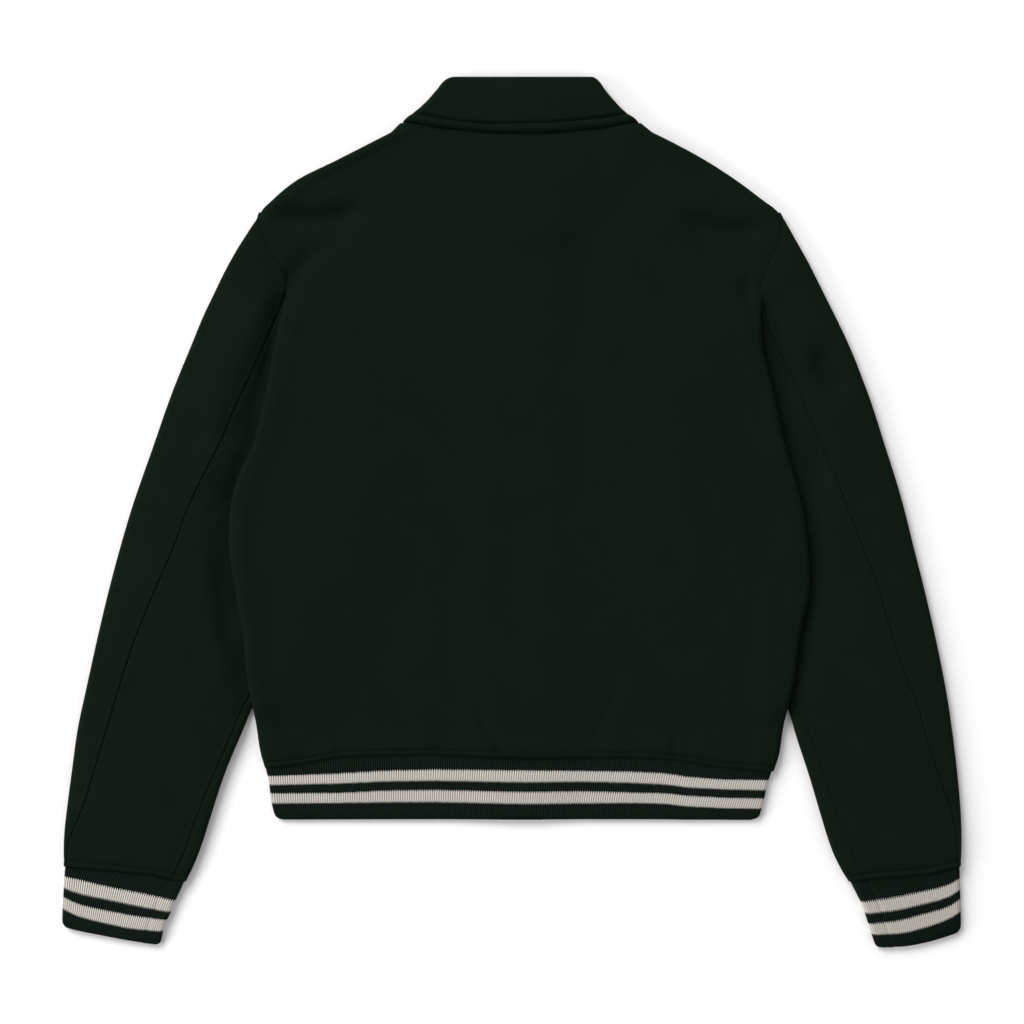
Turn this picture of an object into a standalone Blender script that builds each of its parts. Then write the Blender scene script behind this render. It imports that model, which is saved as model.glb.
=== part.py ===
"""Varsity jacket laid flat on its front, back upwards.

Every cloth piece is a wall cut from flattened ring sections: rows down the garment, points round it.
+X is towards the jacket's right sleeve, +Y towards the collar, +Z up.  The origin is at the
middle of the resting box.  Tables are in millimetres.
"""
import math

import bmesh
import bpy

MM = 0.001            # tables are in millimetres, the model is in metres
WALL = 2.6            # melton with its lining, quilted as one wall; the rib knit is as thick
SEAM = 0.3            # clearance between two pieces that are sewn together
LAYER = 0.4           # clearance between cloth layers that only lie on each other
ARC_STEPS = 2         # facets in a quarter turn of a folded edge
LEAST_INSIDE = 0.15   # smallest inside radius of a folded edge
WIDE = 100.0          # width given for a section too wide to limit its folded edges

BODY_LOFT = 7.2       # height of the two body layers at rest
LAP_LOFT = 3.4        # extra height where both fronts lap at the centre
SLEEVE_PRESSED = 5.8  # height of a sleeve under the body
SLEEVE_LOFT = 8.4     # height of a sleeve beside the body
CUFF_LOFT = 7.0
CUFF_JOIN = 15.0      # distance of a cuff's joining seam from its inner edge
HEM_LOFT = 6.6
LIFT = SLEEVE_PRESSED + LAYER          # the body's side layers ride this high on the sleeves
COLLAR_LIFT = WALL + 0.6               # the fronts lie on the two front ends of the collar leaf

CENTRE = 6.0          # centre front
LAP_HALF = 16.0       # half the width of the lap
BUMP_HALF = 62.0      # half the width over which the back is raised by the lap
BUMP_RAMP = 34.0
BUMP_TOP = 314.0      # the raised strip fades out under the collar
PLACKET_HALF = 32.0   # half the width of the strip that stands off the floor
PLACKET_TOP = 282.0
LAP_STEP_AT = 34.0    # the inside front has stepped up this far from the centre front
LAP_STEP_RAMP = 11.0
HEM_STRAIGHT = 50.0   # the hem band isn't drawn in this near to the centre front
SNAP_RECESS = 1.8     # the lap stands this far off the floor, over the snap caps
SNAP_RADIUS = 7.5
SNAP_HEIGHT = 1.5
SNAP_ROWS = (228, 148, 68, -12, -92, -172)
HEM_SNAP_ROW = -253

# Body, a row for each section: y, the two side edges, where the lower layer has stepped up onto
# the sleeve on each side, how far the edge is folded (0 sewn flat to the sleeve, 1 folded) and
# how much of the lift the row has.
BODY_ROWS = (
    # y,      left,   right,  left_step, right_step, fold, lift
    (349.85, -101.0, 116.5,  -92.0,  108.0, 1, 0),
    (343.0,  -107.0, 124.0,  -98.0,  115.0, 1, 0),
    (335.0,  -122.0, 140.0, -112.0,  130.0, 1, 0),
    (317.0,  -158.0, 174.0, -142.0,  158.0, 1, 0),
    (299.0,  -194.0, 202.0, -166.0,  176.0, 1, 0),
    (281.0,  -216.0, 226.0, -182.0,  194.0, 1, 0),
    (270.0,  -227.0, 241.0, -190.0,  206.0, 1, 0),
    (264.0,  -228.3, 243.0, -192.0,  210.0, 0, 0),
    (245.0,  -223.0, 242.0, -194.0,  213.0, 0, 0),
    (230.0,  -214.0, 234.3, -194.0,  214.0, 0, 0),
    (216.0,  -206.0, 228.0, -194.0,  215.0, 0, 0),
    (200.0,  -203.0, 225.0, -194.0,  216.0, 0, 0),
    (175.0,  -208.0, 224.0, -200.0,  216.0, 1, 1),
    (150.0,  -214.0, 225.0, -174.0,  189.0, 1, 1),
    (125.0,  -218.0, 231.0, -156.0,  172.0, 1, 1),
    (95.0,   -226.0, 238.0, -148.0,  160.0, 1, 1),
    (60.0,   -233.0, 246.0, -146.0,  156.0, 1, 1),
    (29.0,   -247.0, 255.0, -150.0,  159.0, 1, 1),
    (1.0,    -253.5, 262.0, -157.0,  166.0, 1, 1),
    (-28.0,  -254.5, 266.0, -167.0,  176.0, 1, 1),
    (-61.0,  -250.0, 268.0, -178.0,  187.0, 1, 1),
    (-117.0, -241.0, 258.0, -199.0,  209.0, 1, 1),
    (-149.0, -238.0, 254.0, -215.0,  226.0, 1, 1),
    (-174.0, -233.0, 248.0, -226.0,  241.0, 1, 1),
    (-192.0, -230.0, 244.0, -218.0,  232.0, 1, 0),
    (-208.0, -227.5, 241.5, -212.0,  226.0, 1, 0),
)
# The body's last section follows the hem seam, so that its y is only nominal.
HEM_EDGE_ROW = (-230.0, -222.5, 235.5, -206.0, 220.0, 1, 0)
BODY_SECTIONS = BODY_ROWS + (HEM_EDGE_ROW,)

# Sleeves: y, outer edge, back seam (the armhole seam above y 200), inner seam, inner edge.
SLEEVE_ROWS_LEFT = (
    # y,      outer,  back,   seam,   inner
    (264.0,  -230.8, -228.6, None,   None),
    (245.0,  -243.0, -223.3, None,   None),
    (230.0,  -251.5, -214.3, None,   None),
    (216.0,  -259.5, -206.3, None,   None),
    (200.0,  -267.0, -203.3, None,   None),
    (175.0,  -279.0, -213.0, None,   -208.6),
    (150.0,  -289.0, -223.0, -182.0, -176.0),
    (125.0,  -299.5, -234.5, -166.0, -158.0),
    (95.0,   -311.0, -248.0, -158.0, -150.0),
    (60.0,   -323.0, -263.0, -156.0, -148.0),
    (29.0,   -334.0, -279.0, -160.0, -152.0),
    (1.0,    -343.5, -292.0, -167.0, -159.0),
    (-28.0,  -352.0, -302.0, -177.0, -169.0),
    (-61.0,  -361.0, -316.5, -188.0, -180.0),
    (-117.0, -374.5, -339.5, -209.0, -201.0),
    (-149.0, -381.5, -350.0, -225.0, -217.0),
    (-174.0, -387.0, -357.5, -242.0, -233.6),
    (-192.0, -391.0, -363.0, -248.5, -240.5),
    (-232.0, -396.5, -375.0, -266.0, -257.5),
    (-277.0, -402.0, -389.5, -286.0, -274.0),
    (-300.0, -403.7, -397.5, -295.0, -282.5),
)
SLEEVE_END_LEFT = dict(outer=(-404.0, -319.0), inner=(-294.0, -333.0), back=-398.5, seam=-306.0)
TIP_STEPS = 5         # facets where the inner edge is turned up only a quarter
# Places across the lower layer of a row that is open at the armhole.
OPEN_SHARES = (0.25, 0.5, 0.75, 0.9, 0.92, 0.94, 0.96, 0.98, 1.0)

SLEEVE_ROWS_RIGHT = (
    (264.0,   246.0,  243.3, None,   None),
    (245.0,   255.5,  242.3, None,   None),
    (230.0,   264.5,  234.6, None,   None),
    (216.0,   271.5,  228.3, None,   None),
    (200.0,   279.5,  225.3, None,   None),
    (175.0,   292.0,  229.2, None,    224.6),
    (150.0,   304.0,  238.0,  198.0,  191.0),
    (125.0,   314.0,  252.0,  182.0,  174.0),
    (95.0,    325.0,  265.0,  170.0,  162.0),
    (60.0,    336.0,  279.5,  166.0,  158.0),
    (29.0,    346.0,  292.5,  169.0,  161.0),
    (1.0,     354.0,  303.5,  176.0,  168.0),
    (-28.0,   361.0,  314.5,  186.0,  178.0),
    (-61.0,   369.5,  327.5,  197.0,  189.0),
    (-117.0,  382.5,  344.5,  219.0,  211.0),
    (-149.0,  389.0,  355.0,  236.0,  228.0),
    (-174.0,  393.5,  365.5,  256.5,  248.6),
    (-192.0,  396.0,  370.0,  265.0,  253.0),
    (-232.0,  401.0,  383.0,  280.0,  266.0),
    (-277.0,  404.6,  398.8,  297.0,  281.0),
    (-300.0,  405.0,  399.6,  307.5,  289.5),
)
SLEEVE_END_RIGHT = dict(outer=(404.5, -319.0), inner=(303.5, -333.0), back=399.0, seam=318.0)

# Cuffs: the outer and the inner end of each section.
CUFF_ROWS_LEFT = (
    # outer x,  y,     inner x,  y
    (-402.5, -319.4, -295.5, -333.4),
    (-403.5, -346.0, -304.0, -352.0),
    (-405.0, -361.0, -310.5, -367.0),
    (-402.5, -374.0, -317.5, -389.5),
)
CUFF_ROWS_RIGHT = (
    (403.0, -319.4, 306.0, -333.4),
    (403.5, -347.0, 316.5, -353.0),
    (404.5, -362.0, 320.5, -369.0),
    (402.5, -377.0, 328.5, -392.0),
)

# The sewn line between body and hem rib, and the rib's side edges.
HEM_LINE = (
    # x,     y
    (-222, -231.0),
    (-189, -227.5),
    (-167, -221.5),
    (-92, -218.5),
    (0, -221.0),
    (45, -224.0),
    (110, -222.0),
    (155, -225.0),
    (191, -231.0),
    (236, -238.0),
)
HEM_ROWS = (
    # share of the way down, left, right
    (0.0, -222.5, 235.5),
    (0.3, -218.5, 230.0),
    (0.7, -214.8, 224.8),
    (1.0, -210.5, 219.5),
)
HEM_BOTTOM = -277.0

# Collar: the folded leaf's sections from its free edge to the roll, and the stand inside it.
LEAF_ROWS = (
    # y,     left,   right,  low,  top
    (351.0, -99.5, 115.0, 0.0, 13.4),
    (360.0, -88.5, 103.0, 0.0, 13.2),
    (370.0, -77.5, 93.0, 0.0, 12.9),
    (380.0, -68.0, 84.0, 0.0, 12.6),
    (388.0, -61.5, 78.0, 0.3, 11.9),
    (392.0, -54.0, 73.0, 1.6, 9.8),
)
LEAF_DIP = 8.0        # the free edge bows this far towards the hem at the centre back
FRONT_DIP = 86.0      # and this far at the centre front
ROLL_DIP = 76.5
NECK_DIP = 62.0       # the front neck seam, below the back neck seam
NECK_SEAM = 350.0
LAP_NECK_CLEAR = 1.2  # the lap's top corners stay this much lower, clear of the stand's other end
STAND_GAP = 3.0       # half the gap between the stand's ends at the centre front
LEAF_GAP = 5.0
NECK_CENTRE = 8.0
NECK_HALF = 100.0
ROLL_HALF = 58.0
ROLL_LINE = 392.0
STAND_ROWS = (
    # y,      left,  right, low, top
    (350.15, -95.6, 111.6, 3.2, 10.4),
    (360.0, -84.5, 99.0, 3.2, 10.2),
    (370.0, -73.5, 89.0, 3.2, 9.9),
    (380.0, -64.0, 80.0, 3.2, 9.6),
    (385.0, -60.5, 77.0, 3.2, 9.4),
)

COLOURS = {
    "melton": (0.0075, 0.0125, 0.0085, 1.0),
    "rib": (0.0085, 0.0145, 0.0105, 1.0),
    "snap": (0.42, 0.42, 0.42, 1.0),
}


def smooth(value):
    """Ease from 0 to 1."""
    value = min(1.0, max(0.0, value))
    return value * value * (3.0 - 2.0 * value)


def mix(start, end, share):
    return start + (end - start) * share


def spread(start, end, shares):
    return [mix(start, end, share) for share in shares]


def along(table, x):
    """Read y from a table of (x, y) rows."""
    if x <= table[0][0]:
        return table[0][1]
    for (x0, y0), (x1, y1) in zip(table, table[1:]):
        if x <= x1:
            return mix(y0, y1, (x - x0) / (x1 - x0))
    return table[-1][1]


def neck_dip(x):
    """How far the front neck seam lies below the back one."""
    return NECK_DIP * max(0.0, 1.0 - ((x - NECK_CENTRE) / NECK_HALF) ** 2)


# ---------------------------------------------------------------- walls

def wall(name, rows, material):
    """Close the wall between the outer and inner points of each row into one solid."""
    mesh = bpy.data.meshes.new(name)
    form = bmesh.new()
    outer = [[form.verts.new([c * MM for c in p]) for p in row[0]] for row in rows]
    inner = [[form.verts.new([c * MM for c in p]) for p in row[1]] for row in rows]

    def face(*corners):
        form.faces.new(corners)

    last_row = len(rows) - 1
    last_point = len(rows[0][0]) - 1
    for i in range(last_row):
        for j in range(last_point):
            face(outer[i][j], outer[i + 1][j], outer[i + 1][j + 1], outer[i][j + 1])
            face(inner[i][j], inner[i][j + 1], inner[i + 1][j + 1], inner[i + 1][j])
        face(outer[i][0], inner[i][0], inner[i + 1][0], outer[i + 1][0])
        face(outer[i][last_point], outer[i + 1][last_point],
             inner[i + 1][last_point], inner[i][last_point])
    for j in range(last_point):
        face(outer[0][j], outer[0][j + 1], inner[0][j + 1], inner[0][j])
        face(outer[last_row][j], inner[last_row][j],
             inner[last_row][j + 1], outer[last_row][j + 1])
    bmesh.ops.triangulate(form, faces=form.faces, quad_method="FIXED")
    bmesh.ops.recalc_face_normals(form, faces=form.faces)
    if form.calc_volume(signed=True) < 0:
        bmesh.ops.reverse_faces(form, faces=form.faces)
    form.to_mesh(mesh)
    form.free()
    return add(name, mesh, material)


def add(name, mesh, material):
    mesh.materials.append(material)
    for polygon in mesh.polygons:
        polygon.use_smooth = True
    mesh.set_sharp_from_angle(angle=math.radians(40))
    piece = bpy.data.objects.new(name, mesh)
    bpy.context.scene.collection.objects.link(piece)
    return piece


def fold_arc(edge, side, low, top, width, turn, fold, steps=0):
    """Points of a folded edge, from its flat end: a quarter turn for turn 1, a half for turn 2.

    side is -1 for an edge that faces -X.  It starts on the upper layer; outer and inner points
    come back as (x, z) pairs.  With fold 0 the points lie flat along the upper layer.
    """
    radius = (top - low) / 2.0
    reach = min(radius, 0.4 * width)
    middle = edge - side * reach
    inside = max(LEAST_INSIDE, reach - WALL)
    inside_z = max(LEAST_INSIDE, radius - WALL)
    steps = steps or ARC_STEPS * turn
    outer, inner = [], []
    for i in range(steps + 1):
        angle = math.pi / 2.0 * turn * i / steps
        flat_x = middle + side * reach * i / steps
        round_out = (middle + side * reach * math.sin(angle), low + radius + radius * math.cos(angle))
        round_in = (middle + side * inside * math.sin(angle),
                    low + radius + inside_z * math.cos(angle))
        outer.append((mix(flat_x, round_out[0], fold), mix(top, round_out[1], fold)))
        inner.append((mix(flat_x, round_in[0], fold), mix(top - WALL, round_in[1], fold)))
    return outer, inner


# ---------------------------------------------------------------- body

def lap_bump(x, y):
    return smooth((BUMP_HALF - abs(x - CENTRE)) / BUMP_RAMP) * smooth((BUMP_TOP - y) / 20.0)


def placket_lift(x, y):
    """The lap stands off the floor over the snaps."""
    across = smooth((PLACKET_HALF - abs(x - CENTRE)) / 10.0)
    return SNAP_RECESS * across * smooth((PLACKET_TOP - y) / 24.0)


def collar_lift(x, y):
    share = (x - NECK_CENTRE) / 108.0
    leaf_edge = 351.0 - FRONT_DIP * max(0.0, 1.0 - share * share)
    return COLLAR_LIFT * smooth((y - (leaf_edge - 36.0)) / 30.0)


def body_row(row):
    """Columns of a body section, and the lift onto the sleeve at each."""
    _, left, right, left_step, right_step, _, lift = row
    reach = BODY_LOFT / 2.0
    ramp = 14.0 if left_step < -120 else 12.0       # shorter where the body narrows to the neck
    lefts = [left + reach, (left + reach + left_step) / 2, left_step, left_step + ramp]
    rights = [right - reach, (right - reach + right_step) / 2, right_step, right_step - ramp]
    lifts = [lift * LIFT, lift * LIFT, lift * LIFT, 0.0]
    return lefts, rights, lifts


def body_low(x, y, lift):
    return lift + placket_lift(x, y) + collar_lift(x, y)


def body_top(x, y, lift):
    pressed = BODY_LOFT - SLEEVE_PRESSED
    return (BODY_LOFT + LAP_LOFT * lap_bump(x, y) + collar_lift(x, y + 8.0)
            + lift * (1.0 - pressed / LIFT))


def back_columns(row):
    lefts, rights, lifts = body_row(row)
    middle = spread(lefts[-1], CENTRE - BUMP_HALF, (0.5, 1.0))
    middle += [CENTRE - BUMP_HALF / 2, CENTRE, CENTRE + BUMP_HALF / 2]
    middle += spread(CENTRE + BUMP_HALF, rights[-1], (0.0, 0.5))
    columns = list(zip(lefts, lifts)) + [(x, 0.0) for x in middle]
    return columns + list(zip(rights, lifts))[::-1]


def edge_levels(row, side):
    y, left, right = row[0], row[1], row[2]
    x = left if side < 0 else right
    lift = row[6] * LIFT
    return x, body_low(x, y, lift), body_top(x, y, lift)


def row_with_hem(y_of_row, x, hem):
    return along(HEM_LINE, x) + SEAM / 2 if hem else y_of_row


def make_back(material):
    rows = []
    for row in BODY_SECTIONS:
        hem = row is HEM_EDGE_ROW
        outer, inner = [], []
        for side in (-1, 1):
            edge, low, top = edge_levels(row, side)
            arc_out, arc_in = fold_arc(edge, side, low, top, WIDE, 1, row[5])
            arc_out, arc_in = seam_side(arc_out, arc_in)
            out_points = [(x, row_with_hem(row[0], x, hem), z) for x, z in arc_out]
            in_points = [(x, row_with_hem(row[0], x, hem), z) for x, z in arc_in]
            if side < 0:
                outer += out_points[::-1]
                inner += in_points[::-1]
                for x, lift in back_columns(row)[1:-1]:
                    y = row_with_hem(row[0], x, hem)
                    height = body_top(x, row[0], lift)
                    outer.append((x, y, height))
                    inner.append((x, y, height - WALL))
            else:
                outer += out_points
                inner += in_points
        rows.append((outer, inner))
    return wall("back", rows, material)


def seam_side(arc_out, arc_in):
    """Hold the last points of a quarter turn half a seam off the level they turn to."""
    shifted = []
    for points in (arc_out, arc_in):
        x, z = points[-1]
        shifted.append(points[:-1] + [(x, z + SEAM / 2)])
    return shifted


def make_front(name, side, material):
    """A front: side -1 is the wearer's left, whose edge laps outside, against the floor."""
    rows = []
    for row in BODY_SECTIONS:
        hem = row is HEM_EDGE_ROW
        edge, low, top = edge_levels(row, side)
        arc_out, arc_in = fold_arc(edge, side, low, top, WIDE, 1, row[5])
        outer, inner = [], []
        for points, store in ((arc_out, outer), (arc_in, inner)):
            mirrored = [(x, low + top - z) for x, z in points]
            x, z = mirrored[-1]
            mirrored[-1] = (x, z - SEAM / 2)
            for x, z in mirrored[::-1]:
                store.append((x, front_y(row, x, hem), z))
        for x, lift in front_columns(row, side):
            y = front_y(row, x, hem)
            z = body_low(x, y, lift) + lap_step(x, side)
            outer.append((x, y, z))
            inner.append((x, y, z + WALL))
        if side > 0:
            outer.reverse()
            inner.reverse()
        rows.append((outer, inner))
    return wall(name, rows, material)


def front_columns(row, side):
    """Columns of a front from beside its folded edge to the far edge of its lap."""
    lefts, rights, lifts = body_row(row)
    columns = list(zip(lefts if side < 0 else rights, lifts))[1:]
    inside = columns[-1][0]
    columns += [(x, 0.0) for x in spread(inside, CENTRE + side * 44.0, (0.45, 1.0))]
    columns += [(CENTRE + side * 31.0, 0.0), (CENTRE + side * 21.0, 0.0)]
    return columns + [(CENTRE, 0.0), (CENTRE - side * LAP_HALF, 0.0)]


def lap_step(x, side):
    """The right front, and the hem's right end, lap over the left inside."""
    if side < 0:
        return 0.0
    return (WALL + SEAM) * smooth((LAP_STEP_AT - (x - CENTRE)) / LAP_STEP_RAMP)


def front_y(row, x, hem):
    if hem:
        return along(HEM_LINE, x) + SEAM / 2
    share = max(0.0, (row[0] - 264.0) / (NECK_SEAM - 0.15 - 264.0))
    over_lap = LAP_NECK_CLEAR if abs(x - CENTRE) < LAP_HALF + 0.1 else 0.0
    return row[0] - (neck_dip(x) + over_lap) * share


# ---------------------------------------------------------------- sleeves

def body_edge_at(y, side):
    column = 1 if side < 0 else 2
    table = [(row[0], row[column]) for row in BODY_ROWS][::-1]
    return along(table, y)


def sleeve_height(x, y, side):
    if y < -180:
        return mix(7.4, SLEEVE_LOFT, smooth((-180.0 - y) / 40.0)) - 1.0 * smooth((-290.0 - y) / 30.0)
    clear = side * (x - body_edge_at(y, side))
    base = BODY_LOFT if y > 190 else SLEEVE_PRESSED
    return mix(base, SLEEVE_LOFT, smooth((clear - 6.0) / 30.0))


def sleeve_sections(side):
    """All rows of a sleeve; each is outer end, inner end, back seam, inner seam, with their y."""
    table = SLEEVE_ROWS_LEFT if side < 0 else SLEEVE_ROWS_RIGHT
    end = SLEEVE_END_LEFT if side < 0 else SLEEVE_END_RIGHT
    rows = [dict(y=y, y_in=y, outer=o, back=b, seam=s, inner=i) for y, o, b, s, i in table]
    rows.append(dict(y=end["outer"][1], y_in=end["inner"][1], outer=end["outer"][0],
                     back=end["back"], seam=end["seam"], inner=end["inner"][0]))
    return rows


def section_y(section, x):
    if section["y"] == section["y_in"]:
        return section["y"]
    share = (x - section["outer"]) / (section["inner"] - section["outer"])
    return mix(section["y"], section["y_in"], share)


def make_top_sleeve(name, side, material):
    rows = []
    for section in sleeve_sections(side):
        outer_x, back_x, y = section["outer"], section["back"], section["y"]
        inner_x = section["inner"] or back_x
        width = abs(outer_x - inner_x)
        edge_top = sleeve_height(outer_x, y, side)
        arc_out, arc_in = fold_arc(outer_x, side, 0.0, edge_top, width, 2, 1)
        flat_end = arc_out[0][0]
        start = back_x + side * SEAM / 2
        if side * (flat_end - start) < 0.6:
            start = flat_end - side * 0.6
        outer, inner = [], []
        for x in spread(start, flat_end, (0.0, 0.3, 0.65)):
            top = sleeve_height(x, y, side)
            outer.append((x, top))
            inner.append((x, top - WALL))
        outer += arc_out
        inner += arc_in
        if section["inner"] is None:
            ends = spread(flat_end, inner_x + side * SEAM / 2, OPEN_SHARES)
            outer += [(x, 0.0) for x in ends]
            inner += [(x, WALL) for x in ends]
        elif section["seam"] is None:
            inner_top = sleeve_height(inner_x, y, side)
            turn_out, turn_in = fold_arc(inner_x, -side, 0.0, inner_top, width, 1, 1, TIP_STEPS)
            across = spread(flat_end, turn_out[0][0], (0.3, 0.65, 0.95))
            outer += [(x, 0.0) for x in across] + [(x, inner_top - z) for x, z in turn_out]
            inner += [(x, WALL) for x in across] + [(x, inner_top - z) for x, z in turn_in]
        else:
            inner_top = sleeve_height(inner_x, y, side)
            turn_out, turn_in = fold_arc(inner_x, -side, 0.0, inner_top, width, 2, 1)
            floor_end = turn_out[0][0]
            across = spread(flat_end, floor_end, (0.3, 0.65, 0.95))
            outer += [(x, 0.0) for x in across]
            inner += [(x, WALL) for x in across]
            outer += turn_out[::-1]
            inner += turn_in[::-1]
            stop = section["seam"] - side * SEAM / 2
            if side * (stop - floor_end) < 0.1:
                stop = floor_end + side * 0.1
            top = sleeve_height(stop, y, side)
            outer.append((stop, top))
            inner.append((stop, top - WALL))
        rows.append(([(x, section_y(section, x), z) for x, z in outer],
                     [(x, section_y(section, x), z) for x, z in inner]))
    return wall(name, rows, material)


def make_under_sleeve(name, side, material):
    rows = []
    for section in sleeve_sections(side):
        if section["inner"] is None:
            continue
        y = section["y"]
        start = section["back"] - side * SEAM / 2
        stop = (section["seam"] or section["inner"] + side * (WALL + SEAM)) + side * SEAM / 2
        outer, inner = [], []
        for x in spread(start, stop, (0.0, 0.12, 0.3, 0.5, 0.75, 1.0)):
            top = sleeve_height(x, y, side)
            outer.append((x, section_y(section, x), top))
            inner.append((x, section_y(section, x), top - WALL))
        rows.append((outer, inner))
    return wall(name, rows, material)


# ---------------------------------------------------------------- ribs

def make_cuff(name, side, table, material):
    """A knitted tube, closed by one joining seam near its inner edge."""
    rows = []
    for outer_x, outer_y, inner_x, inner_y in table:
        width = abs(outer_x - inner_x)
        far_out, far_in = fold_arc(outer_x, side, 0.0, CUFF_LOFT, width, 2, 1)
        near_out, near_in = fold_arc(inner_x, -side, 0.0, CUFF_LOFT, width, 2, 1)
        join = inner_x + side * CUFF_JOIN
        upper = spread(join + side * SEAM / 2, far_out[0][0], (0.0, 0.3, 0.6, 0.85))
        lower = spread(far_out[-1][0], near_out[-1][0], (0.25, 0.5, 0.75))
        outer = [(x, CUFF_LOFT) for x in upper] + far_out + [(x, 0.0) for x in lower]
        inner = [(x, CUFF_LOFT - WALL) for x in upper] + far_in + [(x, WALL) for x in lower]
        outer += near_out[::-1] + [(join - side * SEAM / 2, CUFF_LOFT)]
        inner += near_in[::-1] + [(join - side * SEAM / 2, CUFF_LOFT - WALL)]
        slope = (inner_y - outer_y) / (inner_x - outer_x)
        rows.append(([(x, outer_y + slope * (x - outer_x), z) for x, z in outer],
                     [(x, outer_y + slope * (x - outer_x), z) for x, z in inner]))
    return wall(name, rows, material)


def make_hem(material):
    """The hem rib runs from one end of the lap round the back to the other."""
    lapped = SNAP_RECESS + 2 * (WALL + SEAM) + LAYER + WALL
    rows = []
    for share, left, right in HEM_ROWS:
        left_out, left_in = fold_arc(left, -1, 0.0, HEM_LOFT, WIDE, 2, 1)
        right_out, right_in = fold_arc(right, 1, 0.0, HEM_LOFT, WIDE, 2, 1)
        outer, inner = [], []

        def drawn_in(x):
            full = HEM_EDGE_ROW[1] if x < CENTRE else HEM_EDGE_ROW[2]
            edge = left if x < CENTRE else right
            if abs(x - CENTRE) < HEM_STRAIGHT:
                return x
            return CENTRE + (x - CENTRE) * (edge - CENTRE) / (full - CENTRE)

        for x in [drawn_in(x) for x, _ in front_columns(HEM_EDGE_ROW, -1)[::-1]]:
            low = placket_lift(x, 0.0)
            outer.append((x, low))
            inner.append((x, low + WALL))
        outer += left_out[::-1]
        inner += left_in[::-1]
        for x in [drawn_in(x) for x, _ in back_columns(HEM_EDGE_ROW)[1:-1]]:
            height = mix(HEM_LOFT, lapped, lap_bump(x, 0.0))
            outer.append((x, height))
            inner.append((x, height - WALL))
        outer += right_out
        inner += right_in
        for x in [drawn_in(x) for x, _ in front_columns(HEM_EDGE_ROW, 1)]:
            low = placket_lift(x, 0.0) + lap_step(x, 1)
            outer.append((x, low))
            inner.append((x, low + WALL))

        def level(x):
            return mix(along(HEM_LINE, x) - SEAM / 2, HEM_BOTTOM, share)
        rows.append(([(x, level(x), z) for x, z in outer], [(x, level(x), z) for x, z in inner]))
    return wall("hem_rib", rows, material)


# ---------------------------------------------------------------- collar

def collar_ring(name, table, back_dip, front_edge_dip, front_roll_dip, gap, material):
    """A band round the neck, flattened: its back half lies over its front half."""
    rows = []
    first, last = table[0][0], table[-1][0]
    for y, left, right, low, top in table:
        share = (y - first) / (last - first)
        back_drop = mix(back_dip, 0.0, min(1.0, share * 2.5))
        front_drop = mix(front_edge_dip, front_roll_dip, share)
        width = right - left
        left_out, left_in = fold_arc(left, -1, low, top, width, 2, 1)
        right_out, right_in = fold_arc(right, 1, low, top, width, 2, 1)

        def back_y(x):
            s = (x - NECK_CENTRE) / NECK_HALF
            return y - back_drop * max(0.0, 1.0 - s * s)

        def front_level(x):
            half = mix(NECK_HALF, ROLL_HALF, (y - NECK_SEAM) / (ROLL_LINE - NECK_SEAM))
            s = (x - NECK_CENTRE) / half
            return y - front_drop * max(0.0, 1.0 - s * s)

        floor_left = neck_columns(-1, NECK_CENTRE - gap, left_out[-1][0])
        floor_right = neck_columns(1, NECK_CENTRE + gap, right_out[-1][0])[::-1]
        upper = spread(left_out[0][0], right_out[0][0], (0.1, 0.25, 0.4, 0.6, 0.75, 0.9))
        outer = [(x, front_level(x), low) for x in floor_left]
        inner = [(x, front_level(x), low + WALL) for x in floor_left]
        outer += [(x, arc_y(z, low, top, back_y(x), front_level(x)), z) for x, z in left_out[::-1]]
        inner += [(x, arc_y(z, low, top, back_y(x), front_level(x)), z) for x, z in left_in[::-1]]
        outer += [(x, back_y(x), top) for x in upper]
        inner += [(x, back_y(x), top - WALL) for x in upper]
        outer += [(x, arc_y(z, low, top, back_y(x), front_level(x)), z) for x, z in right_out]
        inner += [(x, arc_y(z, low, top, back_y(x), front_level(x)), z) for x, z in right_in]
        outer += [(x, front_level(x), low) for x in floor_right]
        inner += [(x, front_level(x), low + WALL) for x in floor_right]
        rows.append((outer, inner))
    return wall(name, rows, material)


def neck_columns(side, start, stop):
    """The fronts' own columns at the neck seam, stretched to run from start to stop."""
    columns = [x for x, _ in front_columns(BODY_ROWS[0], side)][1:-2][::-1]
    first = NECK_CENTRE - STAND_GAP if side < 0 else NECK_CENTRE + STAND_GAP
    last = BODY_ROWS[0][3] if side < 0 else BODY_ROWS[0][4]
    return [start] + [mix(start, stop, (x - first) / (last - first)) for x in columns]


def arc_y(z, low, top, back_y, front_level):
    return mix(front_level, back_y, (z - low) / (top - low))


# ---------------------------------------------------------------- snaps

def make_snap(name, y, material):
    """A plain snap cap on the floor side of the lap: a flat disc with a bevelled rim."""
    mesh = bpy.data.meshes.new(name)
    form = bmesh.new()
    bmesh.ops.create_cone(form, cap_ends=True, segments=16, radius1=SNAP_RADIUS * MM,
                          radius2=SNAP_RADIUS * MM, depth=SNAP_HEIGHT * MM)
    rim = [e for e in form.edges if abs(e.verts[0].co.z - e.verts[1].co.z) < 1e-6 and e.verts[0].co.z < 0]
    bmesh.ops.bevel(form, geom=rim, offset=0.5 * MM, segments=1, affect="EDGES", profile=0.5)
    form.to_mesh(mesh)
    form.free()
    piece = add(name, mesh, material)
    piece.location = (CENTRE * MM, y * MM, SNAP_HEIGHT / 2 * MM)
    return piece


# ---------------------------------------------------------------- build

def make_material(name, colour, roughness, metallic):
    material = bpy.data.materials.new(name)
    material.use_nodes = True
    shader = material.node_tree.nodes["Principled BSDF"]
    shader.inputs["Base Color"].default_value = colour
    shader.inputs["Roughness"].default_value = roughness
    shader.inputs["Metallic"].default_value = metallic
    return material


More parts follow.
